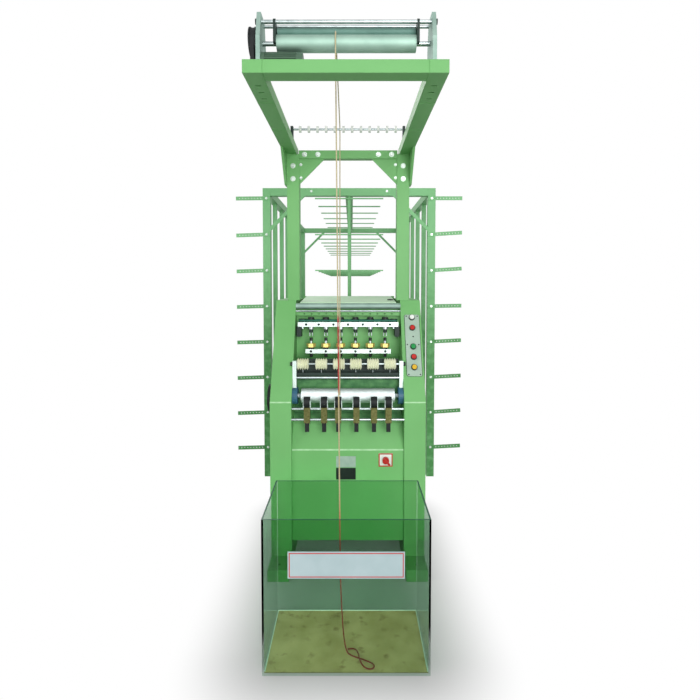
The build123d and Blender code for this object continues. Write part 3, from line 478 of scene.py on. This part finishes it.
set_screws = [(spot(x, bar_front, upper_screw_z), to_front) for x in upper_screw_x]
set_screws += [(spot(x, bar_front, lower_screw_z), to_front) for x in head_x]
grow("head_bar_set_screws", set_screws, screw_tree,
     {"Head radius": 0.006, "Head height": 0.002, "Finish": pulley_black})

# A short black plastic sleeve closes the top of each needle tube. It is turned like a low screw
# head and pushed on from above.
head_y, sleeve_z = 170, 1034
sleeves = [(spot(x, head_y, sleeve_z), unturned) for x in head_x]
grow("needle_sleeves", sleeves, screw_tree,
     {"Head radius": 0.0078, "Head height": 0.015, "Finish": pulley_black})

# The eyelet board under the deck is a thin steel strip, punched with a row of yarn eyes, sprayed
# with the frame's enamel and riveted between the frames.
dress(green_enamel, "eyelet_board")

# Cream nylon rollers, turned with five ridges each, are pressed on a bright steel shaft. It runs
# between two bare milled arms that are screwed to the frames, with a black cap at each end.
shaft_cap = 0.2572
# Nylon is a warm matt white, a little translucent to the eye, so it has no hard highlight.
nylon = plain_coat("cream turned nylon", ("#DDE0BF", "#E9ECD0"),
                   roughness=0.45, cloud_mm=60, grain_mm=6, edge_mm=0.4)
dress(nylon, "grooved_rollers")
dress(ground_steel, "groove_shaft")
dress_zone("groove_shaft", pulley_black, x=(-math.inf, -shaft_cap))
dress_zone("groove_shaft", pulley_black, x=(shaft_cap, math.inf))
tray_edge_low, tray_edge_high = 0.8902, 0.9025
dress_zone("dark_brackets", ground_steel, z=(tray_edge_low, tray_edge_high))
dress(satin_bar, "roller_arms")

# The feed roller is steel, knurled all over so that it grips the cords, and runs in two blue
# painted castings that are bolted inside the frames.
feed_axis_y, feed_axis_z = 0.060 + front_line, 0.783
# Knurled steel glitters in small diamonds. They are drawn 6 mm wide to show at this distance.
knurl_mm = 6
knurl_rows = 36
knurled, tree, shader, place = new_finish("knurled steel", {"Metallic": 1.0, "Roughness": 0.48})
apart = put(tree, "ShaderNodeSeparateXYZ", {}, {"Vector": place})
back = put(tree, "ShaderNodeMath", {"operation": "SUBTRACT"}, {0: apart.outputs["Y"], 1: feed_axis_y})
up = put(tree, "ShaderNodeMath", {"operation": "SUBTRACT"}, {0: apart.outputs["Z"], 1: feed_axis_z})
angle = put(tree, "ShaderNodeMath", {"operation": "ARCTAN2"}, {0: back.outputs[0], 1: up.outputs[0]})
round_way = put(tree, "ShaderNodeMath", {"operation": "MULTIPLY"}, {0: angle.outputs[0], 1: knurl_rows})
along = put(tree, "ShaderNodeMath", {"operation": "MULTIPLY"}, {
    0: apart.outputs["X"], 1: 2 * math.pi * per_mm(knurl_mm)})
grooves = []
for hand in ("ADD", "SUBTRACT"):
    helix = put(tree, "ShaderNodeMath", {"operation": hand}, {
        0: round_way.outputs[0], 1: along.outputs[0]})
    grooves.append(put(tree, "ShaderNodeMath", {"operation": "SINE"}, {0: helix.outputs[0]}).outputs[0])
teeth = put(tree, "ShaderNodeMath", {"operation": "MULTIPLY"}, {0: grooves[0], 1: grooves[1]})
bump = put(tree, "ShaderNodeBump", {}, {"Strength": 0.6, "Distance": 0.0006, "Height": teeth.outputs[0]})
tree.links.new(bump.outputs["Normal"], shader.inputs["Normal"])
steel_grey = cloudy(tree, place, size_mm=25, shades=("#CFDBDB", "#E6EFEF"))
tree.links.new(steel_grey, shader.inputs["Base Color"])
dress(knurled, "feed_roller")
# Painted cast iron is a flat mid blue with a slightly rough skin.
blue_casting = plain_coat("blue painted casting", ("#2C5870", "#3A6A82"),
                          roughness=0.42, cloud_mm=40, grain_mm=2.5, edge_mm=1.2)
dress(blue_casting, "bearing_housings")

# Each press lever holds a black rubber roller in a bare fork, with an olive bronze weight cast
# round the lever and a black tail below it to lift it by. The levers hang on one steel rod.
weight_low, weight_high = 0.670, 0.742
fork_low, fork_high, fork_thick = 0.7425, 0.776, 0.0036
# Old cast bronze is a dull brown olive, blotched, with hardly a highlight.
olive_bronze = bare_metal("dull olive bronze", ("#565732", "#74734B"),
                          roughness=0.62, cloud_mm=7, grain_mm=4)
for head in range(1, head_count + 1):
    lever = f"press_lever_{head}"
    left, right = (corner[0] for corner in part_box(lever))
    dress(black_rubber, lever)
    dress_zone(lever, olive_bronze, z=(weight_low, weight_high))
    dress_zone(lever, satin_bar, x=(-math.inf, left + fork_thick), z=(fork_low, fork_high))
    dress_zone(lever, satin_bar, x=(right - fork_thick, math.inf), z=(fork_low, fork_high))

# The control panel is a painted plate on the right frame's slant, with a lamp and four push
# buttons in turned black bezels, each pushed through a hole and held by a nut from behind.
slant_foot_z = 763
slant_y, slant_z = 0.42742, 0.90407
plate_thick = 0.0034
# Panel paint is a flat pale grey green, smoother than the frame's enamel.
panel_paint = plain_coat("pale grey panel paint", ("#9DB5A4", "#AAC1B0"),
                         roughness=0.42, cloud_mm=60, grain_mm=2, edge_mm=0.8)
dress(panel_paint, "control_panel")
slant_foot = Vector(spot(0, 0, slant_foot_z))
slant_out = Vector((0, -slant_z, slant_y))
panel = nodes["control_panel"].data
panel.materials.append(black_oxide)
for face in panel.polygons:
    if (face.center - slant_foot).dot(slant_out) > plate_thick:
        face.material_index = 1
# Push cap and lamp plastic is evenly coloured through, moulded smooth, with a soft round highlight.
cap_moulding = {"cloud_mm": 20, "grain_mm": 2, "edge_mm": 0.6}
red_plastic = plain_coat("red push cap plastic", ("#B2231F", "#C22F28"),
                         roughness=0.35, **cap_moulding)
green_plastic = plain_coat("green push cap plastic", ("#1B8643", "#25954E"),
                           roughness=0.35, **cap_moulding)
yellow_plastic = plain_coat("yellow push cap plastic", ("#D0A421", "#DEB431"),
                            roughness=0.35, **cap_moulding)
white_plastic = plain_coat("white lamp plastic", ("#DDE3DC", "#E8EDE7"),
                           roughness=0.25, **cap_moulding)
dress(red_plastic, "red_button", "stop_button", "switch_knob")
dress(green_plastic, "green_button")
dress(yellow_plastic, "yellow_button")
dress(white_plastic, "panel_lamp")

# A black rubber gasket is laid round the panel's edge, and small black screws hold the plate at its
# corners and sides. Both lie on the slant: across it, along it from its foot, and out of it.
panel_x = 310


def on_slant(x, along, out):
    back = slant_y * along - slant_z * out
    up = slant_foot_z + slant_z * along + slant_y * out
    return spot(panel_x + x, back, up)


corner_x, corner_low, corner_high = 27, 132, 421
rim_radius, rim_out = 8.6, 0.8
corner_steps, corner_turn = 6, 90
gasket = []
for x, along, first in ((corner_x, corner_high, 0), (-corner_x, corner_high, 90),
                        (-corner_x, corner_low, 180), (corner_x, corner_low, 270)):
    for k in range(corner_steps + 1):
        around = math.radians(first + corner_turn / corner_steps * k)
        rim_x = x + rim_radius * math.cos(around)
        rim_along = along + rim_radius * math.sin(around)
        gasket.append((on_slant(rim_x, rim_along, rim_out), unturned))
grow("panel_gasket", gasket, roll_tree, {"Bead radius": 0.0014, "Finish": black_rubber},
     closed_line(len(gasket)))
out_of_slant = (64.7, 0, 0)
screw_out = 3.4
screw_spots = [(x, along) for x in (-corner_x, corner_x) for along in (131, 276.5, 422)]
screw_spots.append((2, 317))
panel_screws = [(on_slant(x, along, screw_out), out_of_slant) for x, along in screw_spots]
grow("panel_screws", panel_screws, screw_tree,
     {"Head radius": 0.0032, "Head height": 0.001, "Finish": pulley_black})

# The switch plate on the front cover is white plastic with a red edge. The two name plates beside
# it are thin sheet, the upper one grey and the lower one black, glued on and bare.
dress(white_plastic, "switch_plate")
dress(pulley_black, "name_plates")
# Anodised sheet is a flat cool grey with a soft sheen.
plate_grey = plain_coat("grey anodised name plate", ("#93A79C", "#A2B5AA"),
                        roughness=0.45, cloud_mm=30, grain_mm=2, edge_mm=0.4)
upper_plate_low = 0.4605
dress_zone("name_plates", plate_grey, z=(upper_plate_low, math.inf))


# A flat printed line on the front of a plate, inset from its edge.
def red_line(name, plate, inset, wide, thick):
    low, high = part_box(plate)
    middle = (low + high) / 2
    half_x = (high[0] - low[0]) / 2 - inset
    half_z = (high[2] - low[2]) / 2 - inset
    corners = []
    for inward, out in ((0, 0), (0, thick), (wide, thick), (wide, 0)):
        for x_side, z_side in ((-1, -1), (1, -1), (1, 1), (-1, 1)):
            corners.append((middle[0] + x_side * (half_x - inward), low[1] - out,
                            middle[2] + z_side * (half_z - inward)))
    faces = [(4 * a + k, 4 * a + (k + 1) % 4, 4 * b + (k + 1) % 4, 4 * b + k)
             for a, b in closed_line(4) for k in range(4)]
    line = bpy.data.meshes.new(name)
    line.from_pydata(corners, [], faces)
    line.materials.append(red_plastic)
    piece = bpy.data.objects.new(name, line)
    bpy.context.collection.objects.link(piece)
    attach(piece, "machine")


red_line("switch_plate_red_edge", "switch_plate", inset=0.0, wide=0.005, thick=0.0006)

# The creel behind the machine is square steel tube, welded, with steel pegs across its middle
# posts. Drilled flat strips are bolted to its front posts and reach out sideways.
post_x, post_front, strip_back = 547, 1036.9, 1040
# Its coat of enamel is bluer than the frames', and painted shade makes it darker in the lower half,
# where the light falls off toward the floor.
creel_enamel = sprayed_enamel("creel green enamel", ("#7ABB7F", "#88C78C"), "#4F9051",
                              plain_from=1.5, full_at=0.75, thick=1.8)
dress(creel_enamel, "creel_posts", "creel_rails", "creel_pegs")
strip_tree, given = new_tree("drilled strip", [
    "Length", "Height", "Thickness", "Hole pitch", "Hole radius"])
hole_count = 10
same_point = 0.00001
edge = put(strip_tree, "GeometryNodeCurvePrimitiveQuadrilateral", {}, {
    "Width": given["Length"], "Height": given["Height"]})
hole = put(strip_tree, "GeometryNodeCurvePrimitiveCircle", {}, {
    "Resolution": 10, "Radius": given["Hole radius"]})
first = put(strip_tree, "ShaderNodeMath", {"operation": "MULTIPLY"}, {
    0: given["Hole pitch"], 1: -(hole_count - 1) / 2})
first_at = put(strip_tree, "ShaderNodeCombineXYZ", {}, {"X": first.outputs[0]})
step = put(strip_tree, "ShaderNodeCombineXYZ", {}, {"X": given["Hole pitch"]})
hole_line = put(strip_tree, "GeometryNodeMeshLine", {}, {
    "Count": hole_count, "Start Location": first_at.outputs[0], "Offset": step.outputs[0]})
holes = put(strip_tree, "GeometryNodeInstanceOnPoints", {}, {
    "Points": hole_line.outputs[0], "Instance": hole.outputs[0]})
holes = put(strip_tree, "GeometryNodeRealizeInstances", {}, {"Geometry": holes.outputs[0]})
outline = put(strip_tree, "GeometryNodeJoinGeometry", {}, {})
strip_tree.links.new(edge.outputs[0], outline.inputs[0])
strip_tree.links.new(holes.outputs[0], outline.inputs[0])
sheet = put(strip_tree, "GeometryNodeFillCurve", {}, {"Curve": outline.outputs[0]})
raised = put(strip_tree, "GeometryNodeExtrudeMesh", {}, {
    "Mesh": sheet.outputs[0], "Offset Scale": given["Thickness"], "Individual": False})
under = put(strip_tree, "GeometryNodeFlipFaces", {}, {"Mesh": sheet.outputs[0]})
closed = put(strip_tree, "GeometryNodeJoinGeometry", {}, {})
strip_tree.links.new(raised.outputs[0], closed.inputs[0])
strip_tree.links.new(under.outputs[0], closed.inputs[0])
joined = put(strip_tree, "GeometryNodeMergeByDistance", {}, {
    "Geometry": closed.outputs[0], "Distance": same_point})
upright = put(strip_tree, "GeometryNodeTransform", {}, {
    "Geometry": joined.outputs[0], "Rotation": (math.radians(90), 0, 0)})
close_tree(strip_tree, given, stand_on_places(strip_tree, given, upright.outputs[0]))
top_strip_z, tier_pitch = 1868, 238
strip_reach = 88
strip_tilts = {-1: (0.5, 2, 2, 1.5, 1.5, 2, 2, 1.5), 1: (0, 3.5, 3.5, 1, 3, 3, 4, 3)}
strip_places = []
strip_bolts = []
for side, tilts in strip_tilts.items():
    for tier, tilt in enumerate(tilts):
        height = top_strip_z - tier_pitch * tier
        out = side * strip_reach * math.cos(math.radians(tilt))
        rise = side * strip_reach * math.sin(math.radians(tilt))
        strip_places.append((spot(side * post_x + out, strip_back, height + rise), (0, -tilt, 0)))
        strip_bolts.append((spot(side * post_x, post_front, height), to_front))
strips = grow("drilled_guide_strips", strip_places, strip_tree,
              {"Length": 0.226, "Height": 0.025, "Thickness": 0.003, "Hole pitch": 0.02,
               "Hole radius": 0.003, "Finish": creel_enamel})
# The lower strips are a darker, dull blue green grey.
lower_strip_grey = plain_coat("dark grey green lower strip", ("#4C6E60", "#5E8271"),
                         roughness=0.5, cloud_mm=60, grain_mm=2, edge_mm=0.4)
enamelled_from = 1.03
strips.data.materials.append(lower_strip_grey)
for face in strips.data.polygons:
    if face.center.z < enamelled_from:
        face.material_index = 1
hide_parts("creel_guide_arms")
rail_bolt_x, rail_bolt_z = 250, 1915
strip_bolts += [(spot(side * rail_bolt_x, strip_back, rail_bolt_z), to_front) for side in (-1, 1)]
strip_bolt = {"Head radius": 0.006, "Head height": 0.003,
              "Washer radius": 0.008, "Washer height": 0.001, "Finish": zinc_plate}
grow("guide_strip_bolts", strip_bolts, bolt_tree, strip_bolt)

# The collecting bin is five sheets of clear acrylic glued at the edges, open at the top, with a
# loose sheet of tan board on its floor.
bin_rim = 0.5299
# Clear acrylic tints what is behind it a faint bottle green, and lets light through to the board.
clear_acrylic, tree, shader, place = new_finish("clear acrylic sheet", {
    "Roughness": 0.03, "IOR": 1.05, "Transmission Weight": 1.0})
tint = cloudy(tree, place, size_mm=300, shades=("#BDD3C4", "#C7DBCD"))
tree.links.new(tint, shader.inputs["Base Color"])
path = put(tree, "ShaderNodeLightPath", {}, {})
clear = put(tree, "ShaderNodeBsdfTransparent", {}, {"Color": linear("#E4F2E8")})
both = put(tree, "ShaderNodeMixShader", {}, {
    0: path.outputs["Is Shadow Ray"], 1: shader.outputs[0], 2: clear.outputs[0]})
tree.links.new(both.outputs[0], tree.nodes["Material Output"].inputs["Surface"])
dress(clear_acrylic, "collecting_bin")
# Sawn acrylic shows dark bottle green along its edge, where light has travelled through the sheet.
sawn_edge = plain_coat("sawn acrylic edge", ("#2A5546", "#376353"),
                       roughness=0.25, cloud_mm=40, grain_mm=2, edge_mm=0.5)
dress_zone("collecting_bin", sawn_edge, z=(bin_rim, math.inf))
# Hardboard is a matt olive tan, blotched, with darker stains here and there.
stain_mm = 38
board, tree, shader, place = new_finish("olive tan hardboard", {"Roughness": 0.55})
worn = cloudy(tree, place, size_mm=90, shades=("#A09060", "#BCAB7A"))
stains = put(tree, "ShaderNodeTexNoise", {}, {"Vector": place, "Scale": per_mm(stain_mm), "Detail": 4.0})
stained = put(tree, "ShaderNodeMapRange", {}, {
    "Value": stains.outputs["Fac"], "From Min": 0.58, "From Max": 0.74, "To Min": 0.0, "To Max": 0.7})
colour = put(tree, "ShaderNodeMix", {"data_type": "RGBA"}, {
    0: stained.outputs[0], 6: worn, 7: linear("#6B4F33")})
tree.links.new(colour.outputs[2], shader.inputs["Base Color"])
relief(tree, shader, place, grain_mm=2, deep_mm=0.08, edge_mm=0.5)
dress(board, "bin_bottom_sheet")

# A bead of white silicone seals the bin's side and back walls to its floor, pressed from a tube
# along the inner edges.
bead_inset, bead_over = 0.002, 0.0015
# Silicone is milky white with a soft, wet looking highlight.
silicone = plain_coat("white silicone sealant", ("#C9DCD2", "#DCEAE2"),
                      roughness=0.4, cloud_mm=30, grain_mm=5, edge_mm=0.3)
floor_low, floor_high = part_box("bin_bottom_sheet")
left, right = floor_low[0] + bead_inset, floor_high[0] - bead_inset
front, back = floor_low[1] + bead_inset, floor_high[1] - bead_inset
bead_z = floor_high[2] + bead_over
bead_corners = ((left, front), (left, back), (right, back), (right, front))
sealed = [((x, y, bead_z), unturned) for x, y in bead_corners]
grow("bin_silicone_bead", sealed, roll_tree, {"Bead radius": 0.0016, "Finish": silicone},
     [(0, 1), (1, 2), (2, 3)])

# The sign is a pale plastic sheet, glued flat on the bin's front, with a thin red line printed
# round it and a bare middle.
line_inset = 0.004
# Sheet plastic is an even cool grey with a slight gloss.
sign_sheet = plain_coat("pale grey sign sheet", ("#A2B6B9", "#ADBFC2"),
                        roughness=0.35, cloud_mm=80, grain_mm=4, edge_mm=0.5)
dress(sign_sheet, "sign_plate")
red_line("sign_red_line", "sign_plate", inset=line_inset, wide=0.003, thick=0.0003)

# The knitted cord comes up from the feed roller, over the guide rod and the take-up roller, and
# hangs down into the bin. It is knitted of cream yarn with stretches of red.
cord_thick = 0.0048
cord_top = 2.2


# Knitted yarn is matt and soft, with stitches that shade its colour in short rows. They are drawn
# 5 mm long to show at this distance, and wave_length is the wave texture's own at a scale of 1.
# Each stretch is a height in metres and the colour there.
def knitted_yarn(name, stretches):
    stitch_mm = 5
    wave_length = 0.314
    finish, tree, shader, place = new_finish(name, {"Roughness": 0.85, "Sheen Weight": 0.3})
    apart = put(tree, "ShaderNodeSeparateXYZ", {}, {"Vector": place})
    share = put(tree, "ShaderNodeMapRange", {}, {"Value": apart.outputs["Z"], "From Max": cord_top})
    dyed = put(tree, "ShaderNodeValToRGB", {}, {"Fac": share.outputs[0]})
    while len(dyed.color_ramp.elements) < len(stretches):
        dyed.color_ramp.elements.new(1.0)
    for stop, (height, colour) in zip(dyed.color_ramp.elements, stretches):
        stop.position = height / cord_top
        stop.color = linear(colour)
    stitches = put(tree, "ShaderNodeTexWave", {"bands_direction": "Z"}, {
        "Vector": place, "Scale": wave_length * per_mm(stitch_mm),
        "Distortion": 3.0, "Detail": 2.0, "Detail Scale": 2.0})
    shaded = put(tree, "ShaderNodeMix", {"data_type": "RGBA", "blend_type": "MULTIPLY"}, {
        0: 0.3, 6: dyed.outputs["Color"], 7: stitches.outputs["Color"]})
    bump = put(tree, "ShaderNodeBump", {}, {
        "Strength": 0.8, "Distance": 0.001, "Height": stitches.outputs["Fac"]})
    tree.links.new(bump.outputs["Normal"], shader.inputs["Normal"])
    tree.links.new(shaded.outputs[2], shader.inputs["Base Color"])
    return finish


cream_low, cream = "#C4B58A", "#CCBF96"
cream_yarn = knitted_yarn("knitted cord of cream yarn", [(0.0, cream_low), (cord_top, cream)])
striped_yarn = knitted_yarn("knitted cord of cream and red yarn", [
    (0.0, "#7E1810"), (0.25, "#8E2014"), (0.46, "#B84428"), (0.60, cream_low), (0.92, cream_low),
    (0.94, "#B03A2C"), (1.18, "#C0463A"), (1.20, cream), (cord_top, cream)])


def cord(name, route, yarn):
    line = bpy.data.curves.new(name, "CURVE")
    line.dimensions = "3D"
    line.bevel_depth = cord_thick / 2
    line.bevel_resolution = 3
    line.use_fill_caps = True
    line.resolution_u = 12
    run = line.splines.new("NURBS")
    run.points.add(len(route) - 1)
    for point, corner in zip(run.points, route):
        point.co = (*spot(*corner), 1)
    run.order_u = 3
    run.use_endpoint_u = True
    line.materials.append(yarn)
    piece = bpy.data.objects.new(name, line)
    bpy.context.collection.objects.link(piece)
    bpy.context.view_layer.update()
    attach(piece, "machine")
    return piece, Vector(spot(*route[0])), run.calc_length()


riser_route = [(-37, 23.3, 793), (-37, 25.1, 821.7), (-37, 96.5, 1986.1), (-37, 99, 2026),
               (-37, 60.1, 2035.3), (-37, -450.6, 2157.4), (-37, -501.2, 2169.5), (-37, -501.2, 2118)]
riser, start, riser_long = cord("rising_cord", riser_route, cream_yarn)
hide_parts("riser_cord")
hang_route = [(-37, -501.2, 2117.7), (-36.8, -501.2, 2089), (-23.75, -501.2, 449.7), (-22, -501.2, 230),
              (-8, -522, 11.7), (24, -546, 11.7), (66, -562, 11.7), (98, -582, 11.7), (88, -602, 11.7),
              (62, -597, 11.7), (46, -574, 17.7), (40, -532, 17.7), (26, -506, 11.7), (4, -512, 11.7)]
hanging, start, hanging_long = cord("hanging_cord_yarn", hang_route, striped_yarn)
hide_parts("hanging_cord")

# The floor is one plain pale sheet, white to the eye further out. It keeps the machine's shadow,
# and close round the stand it shows its own grey.


# The rays that end at the eye: straight from the camera, mirrored in metal or through the bin.
def eye_rays(tree):
    path = put(tree, "ShaderNodeLightPath", {}, {})
    seen = put(tree, "ShaderNodeMath", {"operation": "MAXIMUM"}, {
        0: path.outputs["Is Camera Ray"], 1: path.outputs["Is Glossy Ray"]})
    seen = put(tree, "ShaderNodeMath", {"operation": "MAXIMUM"}, {
        0: seen.outputs[0], 1: path.outputs["Is Transmission Ray"]})
    return seen.outputs[0]


reach = 40
floor_mesh = bpy.data.meshes.new("floor")
floor_mesh.from_pydata([(-reach, -reach, 0), (reach, -reach, 0), (reach, reach, 0), (-reach, reach, 0)],
                       [], [(0, 1, 2, 3)])
floor = bpy.data.objects.new("floor", floor_mesh)
bpy.context.collection.objects.link(floor)
floor_coat, tree, shader, place = new_finish("pale studio floor", {"Roughness": 0.9})
pale_grey = cloudy(tree, place, size_mm=900, shades=("#B4B4B4", "#BABABA"))
tree.links.new(pale_grey, shader.inputs["Base Color"])
stand_middle, stand_half = (0.0, -1.38, 0.0), (0.22, 0.50, 1.0)
white_from, white_near = 0.4, 0.1
beside = put(tree, "ShaderNodeVectorMath", {"operation": "SUBTRACT"}, {0: place, 1: stand_middle})
beside = put(tree, "ShaderNodeVectorMath", {"operation": "ABSOLUTE"}, {0: beside.outputs[0]})
beside = put(tree, "ShaderNodeVectorMath", {"operation": "SUBTRACT"}, {
    0: beside.outputs[0], 1: stand_half})
beside = put(tree, "ShaderNodeVectorMath", {"operation": "MAXIMUM"}, {
    0: beside.outputs[0], 1: (0, 0, 0)})
away = put(tree, "ShaderNodeVectorMath", {"operation": "LENGTH"}, {0: beside.outputs[0]})
far = put(tree, "ShaderNodeMapRange", {"interpolation_type": "SMOOTHSTEP"}, {
    "Value": away.outputs["Value"], "From Min": 0.0, "From Max": white_from,
    "To Min": white_near, "To Max": 1.0})
share = put(tree, "ShaderNodeMath", {"operation": "MULTIPLY"}, {0: far.outputs[0], 1: eye_rays(tree)})
glow = put(tree, "ShaderNodeEmission", {}, {"Color": linear("#FFFFFF"), "Strength": 1.0})
both = put(tree, "ShaderNodeMixShader", {}, {
    0: share.outputs[0], 1: shader.outputs[0], 2: glow.outputs[0]})
tree.links.new(both.outputs[0], tree.nodes["Material Output"].inputs["Surface"])
floor_mesh.materials.append(floor_coat)

# Three large soft lamps stand round the machine, each with its place, aim, watts and width, and
# the studio's walls fill the rest: white to the eye, dimmer as a light on the machine.
for name, stands, aim, watts, wide in (
        ("front lamp", (1.5, -8.0, 2.2), (0, -1.2, 0.8), 360, 4.0),
        ("side lamp", (-3.4, -3.2, 2.6), (0, -1.0, 0.9), 42, 2.2),
        ("back lamp", (-1.5, 3.6, 4.0), (0, 0, 1.0), 60, 2.6)):
    light = bpy.data.lights.new(name, "AREA")
    light.energy = watts
    light.size = wide
    lamp = bpy.data.objects.new(name, light)
    bpy.context.collection.objects.link(lamp)
    lamp.location = stands
    lamp.rotation_euler = (Vector(aim) - Vector(stands)).to_track_quat("-Z", "Y").to_euler()

wall_light, wall_white = 0.37, 1.0
studio = bpy.data.worlds.new("studio")
bpy.context.scene.world = studio
studio.use_nodes = True
tree = studio.node_tree
tree.nodes.clear()
strength = put(tree, "ShaderNodeMapRange", {}, {
    "Value": eye_rays(tree), "To Min": wall_light, "To Max": wall_white})
walls = put(tree, "ShaderNodeBackground", {}, {
    "Color": linear("#FFFFFF"), "Strength": strength.outputs[0]})
put(tree, "ShaderNodeOutputWorld", {}, {"Surface": walls.outputs[0]})

# The viewpoint is straight in front of the machine, at about half its height, with a wide lens
# that is tipped a little down. Lens and shift are in pixels of a picture 700 wide.
sensor = 36
picture_wide, lens_px, shift_right_px, shift_up_px = 700, 480, -2, -46.8
tipped_down = 2.35
view_data = bpy.data.cameras.new("viewpoint")
view_data.sensor_width = sensor
view_data.lens = sensor * lens_px / picture_wide
view_data.shift_x = shift_right_px / picture_wide
view_data.shift_y = shift_up_px / picture_wide
viewpoint = bpy.data.objects.new("viewpoint", view_data)
bpy.context.collection.objects.link(viewpoint)
viewpoint.location = (0.019, -3.515, 1.305)
viewpoint.rotation_euler = (math.radians(90 - tipped_down), 0, 0)
bpy.context.scene.camera = viewpoint
bpy.context.scene.view_settings.view_transform = "Standard"
